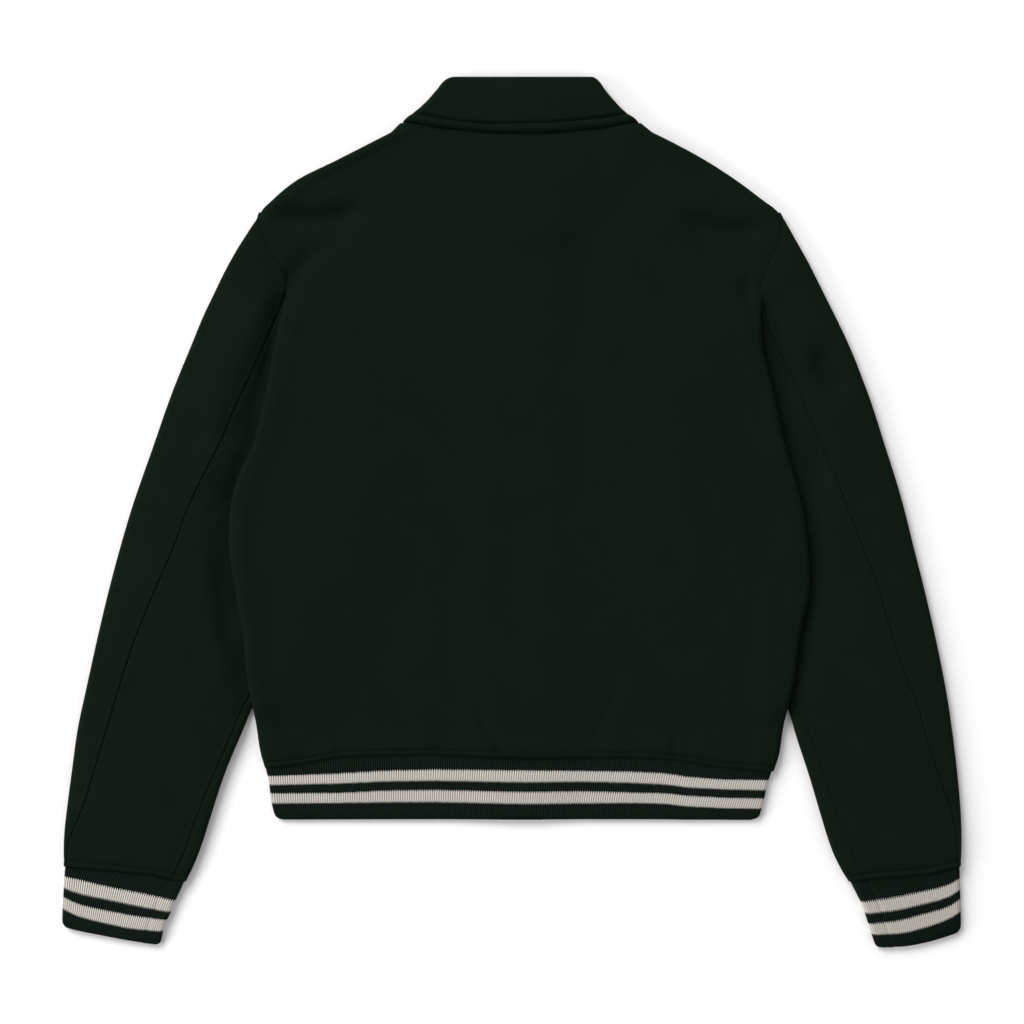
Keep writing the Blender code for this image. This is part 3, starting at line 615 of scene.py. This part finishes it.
def sleeve_height(x, y, word):
    """The sleeve's upper surface: pressed under the body, crowned beside it."""
    side = SIDES[word]
    table = SLEEVES[word]
    outer = curve(table, OUTER, y)
    covered = np.where(y > COVERED_TO, body_edge(side, y), curve(table, INNER, y))
    width = np.abs(outer - covered)
    clear = side * (x - covered)
    share = np.clip(clear / np.maximum(width, 1.0), 0.0, 1.0)
    beside = smooth(y / 60.0) * smooth((214.0 - y) / 30.0)
    base = mix(PRESSED - beside, BODY_TOP, smooth((y - 186.0) / 16.0))
    base = mix(base, SLEEVE_TOP, smooth((-176.0 - y) / 24.0))
    seam_gap = np.abs(curve(table, BACK_SEAM, y) - covered)
    if side < 0:
        flat_width, slope_width = -3.0, 0.7 * seam_gap + 24.0
    else:
        flat_width, slope_width = 0.6 * seam_gap + 6.0, 26.0
    rise = (clear - mix(2.0, flat_width, beside)) / mix(24.0, slope_width, beside)
    height = mix(base, SLEEVE_TOP, smooth(rise))
    crown = SLEEVE_CROWN * smooth(width / 40.0) * np.sin(math.pi * share) ** 0.8
    height = height + crown * smooth((330.0 + y) / 60.0 + 0.35)
    height += creases(SLEEVE_CREASES[word], x, y) * smooth((clear + 12.0) / 10.0)
    above = y - on_line(SLEEVE_END[word], x)
    height -= 1.5 * ridge(above, HEM_STITCH + 0.2, 1.2)
    height += 1.1 * ridge(above, 2.2, 2.0)
    height -= 1.4 * (1.0 - smooth(above / 1.8))
    puckered = smooth((above - 5.0) / 5.0) * smooth((44.0 - above) / 30.0)
    for place, lean, size in CUFF_PUCKERS:
        across = (share - place) * width - lean * above
        height += size * ridge(across, 0.0, 5.0) * puckered
    height = mix(height, 4.6, smooth((y - 258.0) / 11.0))
    over = height - THINNEST
    return THINNEST + 0.5 * (over + np.sqrt(over * over + 0.36))


def end_y(x, nominal, word):
    """Rows run level high on the sleeve and follow the cuff's seam at its end."""
    end = on_line(SLEEVE_END[word], x)
    return nominal + (end - SLEEVE_FOOT) * smooth((-225.0 - nominal) / 98.0)


def back_seam(word, y):
    """The back seam, which above y 200 is the armhole seam and follows the body's edge."""
    armhole = float(body_edge(SIDES[word], y)) + SIDES[word] * SEAM
    below = float(outline(SLEEVES[word], BACK_SEAM, y))
    return mix(below, armhole, float(smooth((y - 190.0) / 14.0)) * float(smooth((268.0 - y) / 4.0)))


def seam_profile(distance, stitched):
    """A sewn edge: rounded down into the seam, with a shallow groove under the topstitching."""
    height = -0.9 * ridge(distance, 0.0, 0.8)
    if stitched:
        height = height + 0.15 * ridge(distance, 2.6, 1.4)
        height = height - 0.30 * ridge(distance, SEAM_STITCH, 0.8)
    return height


def sleeve_rows(first):
    return SLEEVE_FOOT + graded(first - SLEEVE_FOOT, 0.8, 4.2, 30.0)[::-1]


# The seam allowance, turned in past the seam: how far on and how far down its two points are.
TUCKED = np.array(((1.3, 2.6), (1.9, 2.5)))


def make_top_sleeve(word, material):
    side = SIDES[word]
    rows = []
    for nominal in sleeve_rows(SLEEVES[word][0][0]):
        outer_x, seam_x, inner_x = (float(outline(SLEEVES[word], column, nominal))
                                    for column in (OUTER, INNER_SEAM, INNER))
        back_x = back_seam(word, nominal)
        width = abs(outer_x - back_x)
        reach = min(SOFT_EDGE, 0.5 * width)
        y_edge = float(end_y(outer_x, nominal, word))
        start = back_x + side * SEAM / 2
        flat_end = outer_x - side * reach
        top = float(sleeve_height(np.array(flat_end), np.array(y_edge), word))
        distance = graded(max(abs(flat_end - start), 1.0), 0.8, 5.0, 30.0)
        share = np.linspace(0.0, 1.0, 22)
        distance = np.interp(share, np.linspace(0.0, 1.0, len(distance)), distance)
        upper_x = start + side * distance
        upper_z = sleeve_height(upper_x, end_y(upper_x, nominal, word), word)
        sewn = mix(1.0, 0.5, float(smooth((nominal - 190.0) / 20.0)))
        upper_z = upper_z + sewn * seam_profile(distance, True) * min(1.0, width / 12.0)
        fold_x, fold_z = turn(outer_x, side, 0.0, top, reach, 15)
        fold_z[0] = upper_z[-1]
        wrap = float(smooth((200.0 - nominal) / 36.0))
        inner_reach = min(5.0, 0.4 * abs(outer_x - inner_x))
        y_inner = np.array(end_y(inner_x, nominal, word))
        inner_top = float(sleeve_height(np.array(inner_x + side * inner_reach), y_inner, word))
        floor_end = inner_x + side * inner_reach
        lower_x = np.linspace(flat_end, floor_end, 32)[1:-1]
        angle = math.pi * (1.0 - wrap * np.linspace(0.0, 1.0, 11))
        turn_x = floor_end - side * inner_reach * np.sin(angle)
        turn_x = turn_x - side * (1.0 - wrap) * inner_reach * np.linspace(0.0, 1.0, 11)
        turn_z = inner_top / 2 + inner_top / 2 * np.cos(angle)
        stop = seam_x - side * SEAM / 2
        room = max(side * (stop - floor_end), 0.8) * wrap + 0.3
        last = turn_x[-1] + side * room * np.linspace(0.0, 1.0, 9)[1:]
        last_y = end_y(last, nominal, word)
        last_z = mix(turn_z[-1], sleeve_height(last, last_y, word), wrap)
        last_z = last_z + seam_profile(np.abs(stop - last), False) * wrap
        tucked_x = start - side * TUCKED[0][::-1]
        tucked_z = upper_z[0] - TUCKED[1][::-1]
        x = np.concatenate([tucked_x, upper_x, fold_x[1:], lower_x, turn_x, last])
        z = np.concatenate([tucked_z, upper_z, fold_z[1:], np.zeros(len(lower_x)), turn_z, last_z])
        rows.append(np.stack([x, end_y(x, nominal, word), z], -1))
    outer = np.array(rows)
    return shell("sleeve_top_cloth_" + word, outer, girth_uv(outer), material, 12)


def girth_uv(outer):
    """Texture places in millimetres along the cloth, so that the weave isn't stretched at folds."""
    step = np.linalg.norm(np.diff(outer, axis=1), axis=2)
    around = np.concatenate([np.zeros((len(outer), 1)), np.cumsum(step, axis=1)], axis=1)
    around += outer[:, :1, 0]
    return np.stack([around, outer[:, :, 1]], -1)


def make_under_sleeve(word, material):
    side = SIDES[word]
    rows = []
    for nominal in sleeve_rows(199.0):
        back_x, seam_x = back_seam(word, nominal), float(outline(SLEEVES[word], INNER_SEAM, nominal))
        start, stop = back_x - side * SEAM / 2, seam_x + side * SEAM / 2
        width = max(abs(stop - start), 0.8)
        near, far = min(6.0, width / 3), width - min(7.0, width / 3)
        places = np.concatenate([np.linspace(0, near, 12), np.linspace(near, far, 38)[1:],
                                 np.linspace(far, width, 12)[1:]])
        distance = np.interp(np.linspace(0, 1, 46), np.linspace(0, 1, 60), places)
        x = start - side * distance
        y = end_y(x, nominal, word)
        z = sleeve_height(x, y, word) + seam_profile(distance, False) * min(1.0, width / 8.0)
        z = z + seam_profile(width - distance, True) * min(1.0, width / 12.0)
        x = np.concatenate([x, stop - side * TUCKED[0]])
        z = np.concatenate([z, z[-1] - TUCKED[1]])
        rows.append(np.stack([x, end_y(x, nominal, word), z], -1))
    outer = np.array(rows)
    return shell("sleeve_under_cloth_" + word, outer, outer[:, :, :2].copy(), material, 20)


# -------- ribs

def rib_wave(around):
    """One-by-one rib: round raised wales with narrow valleys."""
    phase = around / RIB_PITCH * 2.0 * math.pi
    return RIB_DEPTH * (np.abs(np.cos(phase / 2.0)) ** 0.8 - 0.62)


def path_length(x, z):
    return np.concatenate([[0.0], np.cumsum(np.hypot(np.diff(x), np.diff(z)))])


# Rows across a band: from share, to share, steps. The first row is tucked under the sewn cloth.
RIB_STEPS = ((0.0, 0.2, 5), (0.2, 0.4, 4), (0.4, 0.53, 3), (0.53, 0.74, 4), (0.74, 1.0, 8))
RIB_ROWS = np.concatenate([[-0.03]] + [np.linspace(a, b, n + 1)[:-1] for a, b, n in RIB_STEPS] + [[1.0]])


def at_level(share, table):
    """Read a column of values given at the six levels."""
    place = min(max(int(np.searchsorted(LEVELS, share, side="right")) - 1, 0), 4)
    part = (share - LEVELS[place]) / (LEVELS[place + 1] - LEVELS[place])
    return mix(np.array(table[place], float), np.array(table[place + 1], float), part)


def ribbed(sections, shift, name, material, outward, up_column=None):
    """Lay the same count of ribs on each section (x, z, y function), pushed out along its normal."""
    count = round(path_length(*sections[0][:2])[-1] / RIB_PITCH) * RIB_POINTS
    around = np.arange(count + 1) / RIB_POINTS * RIB_PITCH
    rows, uv = [], []
    for share, (x, z, level) in zip(RIB_ROWS, sections):
        length = path_length(x, z)
        at = np.linspace(0.0, length[-1], count + 1)
        px, pz = np.interp(at, length, x), np.interp(at, length, z)
        tangent_x, tangent_z = np.gradient(px), np.gradient(pz)
        size = np.maximum(np.hypot(tangent_x, tangent_z), 1e-6)
        wave = rib_wave(around + shift)
        ends = smooth(share / 0.03) * 0.6 + 0.4
        rows.append(np.stack([px - tangent_z / size * wave * ends * outward,
                              level(px), pz + tangent_x / size * wave * ends * outward], -1))
        uv.append(np.stack([around, np.full(count + 1, share * BAND_UV)], -1))
    return shell(name, np.array(rows), np.array(uv), material, up_column or count // 2)


def corner(share):
    """How far a band's side has curved in near its free edge, 0 to 1."""
    return 1.0 - math.sqrt(1.0 - max(0.0, (share - 0.90) / 0.1) ** 2)


def thinned(share):
    """How much thinner a band gets towards its free edge."""
    return 2.2 * float(smooth((share - 0.90) / 0.1))


def band_section(left, right, low, top, reach, upper_count, floor_count, floor_ends):
    """A flattened band: floor from its first end, left fold, upper side, right fold, floor."""
    left_x, left_z = turn(left, -1, low, top, reach, 13)
    right_x, right_z = turn(right, 1, low, top, reach, 13)
    parts = (np.linspace(floor_ends[0], left_x[-1], floor_count)[:-1], left_x[::-1],
             np.linspace(left_x[0], right_x[0], upper_count)[1:-1], right_x,
             np.linspace(right_x[-1], floor_ends[1], floor_count)[1:])
    return parts, left_z[::-1], right_z


def make_hem(material):
    sections = []
    for share in RIB_ROWS:
        inset = 3.8 * corner(share)
        left = float(curve(HEM_EDGES, 1, share)) + inset
        right = float(curve(HEM_EDGES, 2, share)) - inset
        puff = HEM_TOP + 0.9 * math.sin(math.pi * min(1.0, share * 1.15)) - thinned(share)
        puff -= 1.2 * (share < 0.0)
        parts, left_z, right_z = band_section(left, right, 0.0, puff, 4.0, 60, 40,
                                              (CENTRE + LAP_HALF, CENTRE - LAP_HALF))
        floor_left, _, middle, _, floor_right = parts
        waves = 0.5 * np.sin(middle / 31.0 + 1.0) + 0.35 * np.sin(middle / 13.0)
        top = puff + 1.4 * lap(middle, np.zeros(58)) + waves * math.sin(math.pi * share)
        low_left = body_low(floor_left, np.full(39, -260.0))
        low_right = body_low(floor_right, np.full(39, -260.0)) + lap_raise(floor_right)
        z = np.concatenate([low_left, left_z, top, right_z, low_right])

        def level(at, share=share):
            table = [on_line([(row[0], row[column]) for row in HEM_LEVELS], at) for column in range(1, 7)]
            table[0] = table[0] - SEAM / 2
            return at_level(share, table)
        sections.append((np.concatenate(parts), z, level))
    return ribbed(sections, 0.0, "hem_rib_knit", material, 1.0)


def make_cuff(word, material):
    side = SIDES[word]
    sections = []
    for share in RIB_ROWS:
        row = at_level(share, CUFFS[word])
        inset = 2.6 * corner(share)
        outer_x, inner_x = row[0] - side * inset, row[1] + side * inset
        top = CUFF_TOP + math.cos(1.2 * share) - thinned(share) - 2.0 * (share < 0.0)
        far_x, far_z = turn(outer_x, side, 0.0, top, 4.5, 15)
        near_x, near_z = turn(inner_x, -side, 0.0, top, 4.5, 15)
        join = inner_x + side * 14.0
        upper = np.linspace(join + side * SEAM / 2, far_x[0], 24)[:-1]
        lower = np.linspace(far_x[-1], near_x[-1], 24)[1:-1]
        last = np.linspace(near_x[0], join - side * SEAM / 2, 8)[1:]
        dip = -0.8 * ridge(upper, join, 1.6)
        dip_last = -0.8 * ridge(last, join, 1.6)
        x = np.concatenate([upper, far_x, lower, near_x[::-1], last])
        z = np.concatenate([top + dip, far_z, np.zeros(22), near_z[::-1], top + dip_last])

        def level(at, row=row):
            part = np.clip((at - row[0]) / (row[1] - row[0]), 0.0, 1.0)
            return curve(list(zip(CUFF_SHARES, row[2:])), 1, part)
        sections.append((x, z, level))
    return ribbed(sections, 0.4, "cuff_knit_" + word, material, float(side), 40)


# -------- collar

def make_collar(name, table, back_dip, front_edge_dip, front_roll_dip, gap, material, distances, top_stitch):
    """A band round the neck; distances run from its lower edge to its top."""
    first, last = table[0][0], table[-1][0]
    rows = []
    for distance in distances:
        share = distance / distances[-1]
        y0 = mix(first, last, share)
        left, right, low, top = (float(curve(table, column, y0)) for column in range(1, 5))
        back_drop = back_dip * (1.0 - float(smooth((distance - 8.0) / 22.0)))
        front_drop = mix(front_edge_dip, front_roll_dip, share)
        half = mix(100.0, 58.0, (y0 - 350.0) / 42.0)
        rim = 1.5 * math.exp(-(distance / 1.1) ** 2)
        if top_stitch:
            rim += 2.6 * math.exp(-((distance - LEAF_STITCH) / 1.3) ** 2)
            rim -= 0.9 * math.exp(-((distance - 4.0) / 2.2) ** 2)
            tip = 1.2 * (1.0 - min(1.0, distance / 4.0)) ** 2
            left, right = left + tip, right - tip
        reach = mix(3.6, 6.0, float(smooth((top - 10.6) / 2.6)))
        parts, left_z, right_z = band_section(left, right, low, top - rim, reach, 66, 30,
                                              (NECK_CENTRE - gap, NECK_CENTRE + gap))
        x = np.concatenate(parts)
        soft = 0.5 * np.sin(parts[2] / 23.0) * math.sin(math.pi * share)
        z = np.concatenate([np.full(29, low), left_z, top - rim + soft, right_z, np.full(29, low)])
        back_y = y0 - back_drop * neck_bow(x)
        front_y = y0 - front_drop * neck_bow(x, half)
        rise = np.clip((z - low) / max(top - rim - low, 1.0), 0.0, 1.0)
        rows.append(np.stack([x, mix(front_y, back_y, rise), z], -1))
    outer = np.array(rows)
    return shell(name, outer, girth_uv(outer), material, 29 + 13 + 30)


# -------- stitches

def surface(*pieces):
    meshes = [piece.data for piece in pieces]
    return [BVHTree.FromPolygons([v.co for v in mesh.vertices], [p.vertices for p in mesh.polygons])
            for mesh in meshes]


def height_on(trees, x, y):
    """The highest point of the pieces at x, y, or None beside them."""
    hits = [tree.ray_cast(Vector((x * MM, y * MM, 0.1)), Vector((0, 0, -1)))[0] for tree in trees]
    heights = [hit.z for hit in hits if hit is not None]
    return max(heights) / MM if heights else None


def stitch_line(path, trees, points, faces):
    """Thread stitches along a path of (x, y), sunk a little into the cloth."""
    x, y = np.array(path, float).T
    length = path_length(x, y)
    place = 0.0
    while place + STITCH_LENGTH + 0.1 < length[-1]:
        ends = [np.array([np.interp(at, length, x), np.interp(at, length, y)])
                for at in (place, place + STITCH_LENGTH)]
        heights = [height_on(trees, *end) for end in ends]
        if None not in heights and abs(heights[0] - heights[1]) < 1.2:
            add_stitch(ends, heights, points, faces)
        place += STITCH_PITCH


# Along a stitch: share of its length, half width, and how far its top is above the cloth.
THREAD_RINGS = ((0.0, 0.12, -0.16), (0.25, 0.24, 0.06), (0.75, 0.24, 0.06), (1.0, 0.12, -0.16))


def add_stitch(ends, heights, points, faces):
    """One stitch: a short thread of four-cornered rings with tapered ends, on the cloth."""
    direction = ends[1] - ends[0]
    direction = direction / max(np.linalg.norm(direction), 1e-6)
    normal = np.array([-direction[1], direction[0]])
    base = len(points)
    for share, width, rise in THREAD_RINGS:
        centre = mix(ends[0], ends[1], share)
        z = mix(heights[0], heights[1], share)
        for across, up in ((-1.0, -0.2), (0.0, rise), (1.0, -0.2), (0.0, -0.45)):
            spot = centre + normal * width * across
            points.append((spot[0], spot[1], z + up))
    for ring in range(3):
        for corner in range(4):
            a, b = base + ring * 4 + corner, base + ring * 4 + (corner + 1) % 4
            faces.append((a, b, b + 4, a + 4))
    faces.append((base + 3, base + 2, base + 1, base))
    faces.append((base + 12, base + 13, base + 14, base + 15))


def make_stitches(name, lines, trees, material):
    points, faces = [], []
    for line in lines:
        stitch_line(line, trees, points, faces)
    points = np.array(points)
    return make_object(name, points, np.array(faces), points[:, :2].copy(), material)


def beside_seam(word, column, top, bottom):
    """The topstitching's path along a sleeve seam."""
    path = []
    for y in np.linspace(top, bottom, 60):
        x = float(outline(SLEEVES[word], column, y)) + SIDES[word] * SEAM_STITCH
        path.append((x, float(end_y(x, y, word))))
    return path


# -------- materials

TWILL_PITCH = 0.0017   # metres, as are all lengths in the materials
COURSES = 42.0         # knitted rows over a band's depth


class Nodes:
    """Short calls for building one material's node tree."""

    def __init__(self, name):
        self.material = bpy.data.materials.new(name)
        self.material.use_nodes = True
        self.tree = self.material.node_tree
        self.shader = self.tree.nodes["Principled BSDF"]

    def add(self, kind, **settings):
        node = self.tree.nodes.new(kind)
        for key, value in settings.items():
            setattr(node, key, value)
        return node

    def link(self, source, target):
        self.tree.links.new(source, target)

    def shade(self, name, value):
        self.put(self.shader.inputs[name], value)

    def put(self, socket, value):
        if hasattr(value, "is_output"):
            self.link(value, socket)
        else:
            socket.default_value = value

    def math(self, operation, a, b=0.0, c=0.0):
        node = self.add("ShaderNodeMath", operation=operation)
        for socket, value in zip(node.inputs, (a, b, c)):
            self.put(socket, value)
        return node.outputs[0]

    def scaled(self, value, factor, added=0.0):
        return self.math("MULTIPLY_ADD", value, factor, added)

    def weighted(self, a, of_a, b, of_b):
        return self.math("ADD", self.math("MULTIPLY", a, of_a), self.math("MULTIPLY", b, of_b))

    def place(self):
        return self.add("ShaderNodeTexCoord").outputs["Object"]

    def noise(self, vector, scale, detail=3.0, roughness=0.55):
        node = self.add("ShaderNodeTexNoise")
        settings = {"Vector": vector, "Scale": scale, "Detail": detail, "Roughness": roughness}
        for key, value in settings.items():
            self.put(node.inputs[key], value)
        return node.outputs["Fac"]

    def ramp(self, factor, stops):
        node = self.add("ShaderNodeValToRGB")
        elements = node.color_ramp.elements
        while len(elements) < len(stops):
            elements.new(0.5)
        for element, (place, colour) in zip(elements, stops):
            element.position = place
            element.color = (*colour, 1.0)
        self.link(factor, node.inputs["Fac"])
        return node.outputs["Color"]

    def mix_colour(self, factor, a, b):
        node = self.add("ShaderNodeMix", data_type="RGBA")
        self.put(node.inputs[0], factor)
        self.put(node.inputs[6], a)
        self.put(node.inputs[7], b)
        return node.outputs[2]

    def bump(self, height, strength, distance):
        node = self.add("ShaderNodeBump")
        for key, value in {"Height": height, "Strength": strength, "Distance": distance}.items():
            self.put(node.inputs[key], value)
        return node.outputs["Normal"]

    def sheen(self, weight, roughness, tint):
        self.shader.inputs["Specular IOR Level"].default_value = 0.035
        self.shader.inputs["Sheen Weight"].default_value = weight
        self.shader.inputs["Sheen Roughness"].default_value = roughness
        self.shader.inputs["Sheen Tint"].default_value = tint

    def cloth_uv(self):
        node = self.add("ShaderNodeUVMap", uv_map="cloth")
        split = self.add("ShaderNodeSeparateXYZ")
        self.link(node.outputs["UV"], split.inputs[0])
        return split.outputs[0], split.outputs[1]


def melton(name, dark, light, twill_lean=1.0):
    """Napped wool twill: fine diagonal lines, at a lean of their own, under a soft fuzz."""
    n = Nodes(name)
    u, v = n.cloth_uv()
    place = n.place()
    diagonal = n.math("ADD", u, n.math("MULTIPLY", v, twill_lean))
    wobble = n.math("MULTIPLY", n.noise(place, 380.0, 2.0), 0.0011)
    phase = n.math("MULTIPLY", n.math("ADD", diagonal, wobble), 2.0 * math.pi / TWILL_PITCH)
    wale = n.scaled(n.math("SINE", phase), 0.5, 0.5)
    fuzz = n.noise(place, 900.0, 4.0, 0.7)
    blotch = n.noise(place, 26.0, 4.0, 0.6)
    grain = n.weighted(wale, 0.28, fuzz, 0.5)
    grain = n.math("ADD", grain, n.scaled(blotch, 0.12, 0.09))
    n.shade("Base Color", n.ramp(grain, ((0.30, dark), (0.80, light))))
    n.shade("Roughness", n.scaled(fuzz, 0.15, 0.82))
    n.shade("Normal", n.bump(n.weighted(wale, 0.5, fuzz, 0.9), 0.6, 0.00045))
    n.sheen(0.016, 0.45, (0.62, 0.80, 0.66, 1.0))
    return n.material


def rib_knit(name, stripes):
    """Ribbed knit in green with cream stripes, whose edges step up and down from wale to wale, with painted
    shade in the valleys between the wales.
    """
    n = Nodes(name)
    u, v = n.cloth_uv()
    place = n.place()
    pitch = RIB_PITCH * MM
    wale = n.math("COSINE", n.math("MULTIPLY", u, 2.0 * math.pi / pitch))
    wale = n.scaled(wale, 0.5, 0.5)
    share = n.math("MULTIPLY", v, 1.0 / (BAND_UV * MM))
    step = n.math("FLOOR", n.math("MULTIPLY", u, 1.0 / pitch))
    jag = n.add("ShaderNodeTexWhiteNoise", noise_dimensions="1D")
    n.link(step, jag.inputs["W"])
    jitter = n.scaled(jag.outputs["Value"], 0.006, -0.003)
    curl = n.scaled(wale, 0.034, -0.017)
    level = n.math("ADD", n.math("ADD", share, jitter), curl)
    inside = None
    for start, stop in stripes:
        after = n.math("GREATER_THAN", level, start)
        before = n.math("LESS_THAN", level, stop)
        band = n.math("MULTIPLY", after, before)
        inside = band if inside is None else n.math("ADD", inside, band)
    fuzz = n.noise(place, 800.0, 4.0, 0.7)
    # Both yarn colours darken from each wale's crest into the valley beside it. This is painted shade in the
    # rib grooves, on top of the yarn's own fuzz tone.
    green = n.ramp(n.weighted(wale, 0.55, fuzz, 0.45),
                   ((0.20, (0.0008, 0.0026, 0.0016)), (0.82, (0.0078, 0.0146, 0.0104))))
    cream = n.ramp(n.weighted(wale, 0.6, fuzz, 0.4),
                   ((0.15, (0.20, 0.18, 0.16)), (0.58, (0.55, 0.515, 0.48))))
    n.shade("Base Color", n.mix_colour(inside, green, cream))
    n.shade("Roughness", n.scaled(fuzz, 0.12, 0.84))
    course = n.math("SINE", n.math("MULTIPLY", v, 2.0 * math.pi * COURSES / (BAND_UV * MM)))
    n.shade("Normal", n.bump(n.weighted(course, 0.25, fuzz, 0.8), 0.5, 0.0003))
    n.sheen(0.015, 0.5, (0.70, 0.85, 0.78, 1.0))
    return n.material


def thread_material():
    n = Nodes("thread")
    twist = n.noise(n.place(), 2600.0, 2.0)
    colour = n.ramp(twist, ((0.35, (0.0008, 0.0022, 0.0011)), (0.70, (0.0030, 0.0066, 0.0038))))
    n.shade("Base Color", colour)
    n.shade("Roughness", n.scaled(twist, 0.2, 0.6))
    n.shader.inputs["Specular IOR Level"].default_value = 0.05
    return n.material


def snap_material():
    """Satin nickel with fine handling marks."""
    n = Nodes("snap_metal")
    marks = n.noise(n.place(), 700.0, 5.0, 0.65)
    colour = n.ramp(marks, ((0.3, (0.42, 0.42, 0.41)), (0.75, (0.62, 0.62, 0.60))))
    n.shade("Base Color", colour)
    n.shade("Roughness", n.scaled(marks, 0.22, 0.24))
    n.shader.inputs["Metallic"].default_value = 1.0
    return n.material


# -------- stage

def make_floor():
    mesh = bpy.data.meshes.new("floor")
    corners = [(40.0 * x, 40.0 * y, 0) for x, y in ((-1, -1), (1, -1), (1, 1), (-1, 1))]
    mesh.from_pydata(corners, [], [(0, 1, 2, 3)])
    floor = link_object("floor", mesh)
    n = Nodes("pale_floor")
    tone = n.ramp(n.noise(n.place(), 3.0, 2.0), ((0.3, (0.90, 0.90, 0.90)), (0.7, (0.92, 0.92, 0.92))))
    n.shade("Base Color", tone)
    n.shader.inputs["Roughness"].default_value = 0.9
    mesh.materials.append(n.material)
    floor.location.z = -0.0004


def add_area(name, place, size, power):
    light = bpy.data.lights.new(name, "AREA")
    light.shape = "DISK"
    light.size = size
    light.energy = power
    item = link_object(name, light)
    item.location = place
    item.rotation_euler = (-Vector(place)).to_track_quat("-Z", "Y").to_euler()


def set_light():
    world = bpy.data.worlds.new("studio")
    bpy.context.scene.world = world
    world.use_nodes = True
    background = world.node_tree.nodes["Background"]
    background.inputs["Color"].default_value = (1.0, 1.0, 1.0, 1.0)
    background.inputs["Strength"].default_value = 0.43
    add_area("key", (-3.4, 4.4, 4.4), 4.6, 470.0)
    add_area("side", (-5.0, -1.0, 2.4), 2.4, 120.0)
    add_area("fill", (3.6, -2.8, 3.2), 3.2, 40.0)


def set_camera():
    """Straight above the jacket, with a long lens."""
    data = bpy.data.cameras.new("camera")
    data.lens = 85.0
    data.sensor_width = 36.0
    data.clip_end = 100.0
    camera = link_object("camera", data)
    seen = 0.9216                      # width seen at the height of the cloth
    camera.location = (0.0, 0.0, seen * data.lens / data.sensor_width + 0.008)
    bpy.context.scene.camera = camera
    bpy.context.scene.view_settings.view_transform = "Standard"


# -------- build


def declare(node):
    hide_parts(node)


def build():
    dark = (0.0011, 0.0036, 0.0015)
    cloth = melton("melton_body", dark, (0.0068, 0.0140, 0.0081))
    sleeve_cloth = melton("melton_sleeve", (0.0011, 0.0036, 0.0016), (0.0073, 0.0145, 0.0086), -1.4)
    collar_cloth = melton("melton_collar", dark, (0.0065, 0.0136, 0.0076), 0.8)
    thread = thread_material()
    knit = rib_knit("rib_knit", STRIPES)
    back = make_back(cloth)
    declare("back")
    for word, side in SIDES.items():
        front = make_front("front_%s_cloth" % word, side, cloth)
        declare("front_" + word)
    tops = {}
    for word in SIDES:
        top = make_top_sleeve(word, sleeve_cloth)
        declare("sleeve_top_" + word)
        under = make_under_sleeve(word, sleeve_cloth)
        declare("sleeve_under_" + word)
        tops[word] = (top, under)
        cuff = make_cuff(word, knit)
        declare("cuff_" + word)
    hem = make_hem(knit)
    declare("hem_rib")
    leaf = make_collar("collar_leaf_cloth", LEAF, LEAF_DIP, FRONT_DIP, 76.5, 5.0, collar_cloth,
                       np.append(graded(38.6, 0.6, 2.2, 26.0), (39.6, 40.2, 40.6, 40.85, 41.0)), True)
    declare("collar_leaf")
    stand = make_collar("collar_stand_cloth", STAND, 0.0, 62.0, 75.5, 3.0, collar_cloth,
                        graded(35.0, 2.0, 3.0, 10.0), False)
    declare("collar_stand")

    hem_path = [(x, on_line(HEM_LINE, x) + HEM_STITCH) for x in np.linspace(-216, 228, 200)]
    make_stitches("stitches_hem", [hem_path], surface(back), thread)
    leaf_path = [(x, leaf_edge(x) + LEAF_STITCH) for x in np.linspace(-84, 101, 90)]
    make_stitches("stitches_collar", [leaf_path], surface(leaf), thread)
    for word, ends in SLEEVE_END.items():
        end_path = [(x, on_line(ends, x) + HEM_STITCH)
                    for x in np.linspace(ends[0][0] + 5, ends[-1][0] - 5, 60)]
        lines = [beside_seam(word, BACK_SEAM, 186.0, -296.0),
                 beside_seam(word, INNER_SEAM, -178.0, -318.0), end_path]
        make_stitches("stitches_sleeve_" + word, lines, surface(*tops[word]), thread)
    metal = snap_material()
    for name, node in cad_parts.items():
        if name.startswith("snap_"):
            node.data.materials.clear()
            node.data.materials.append(metal)


make_floor()
set_light()
set_camera()
build()
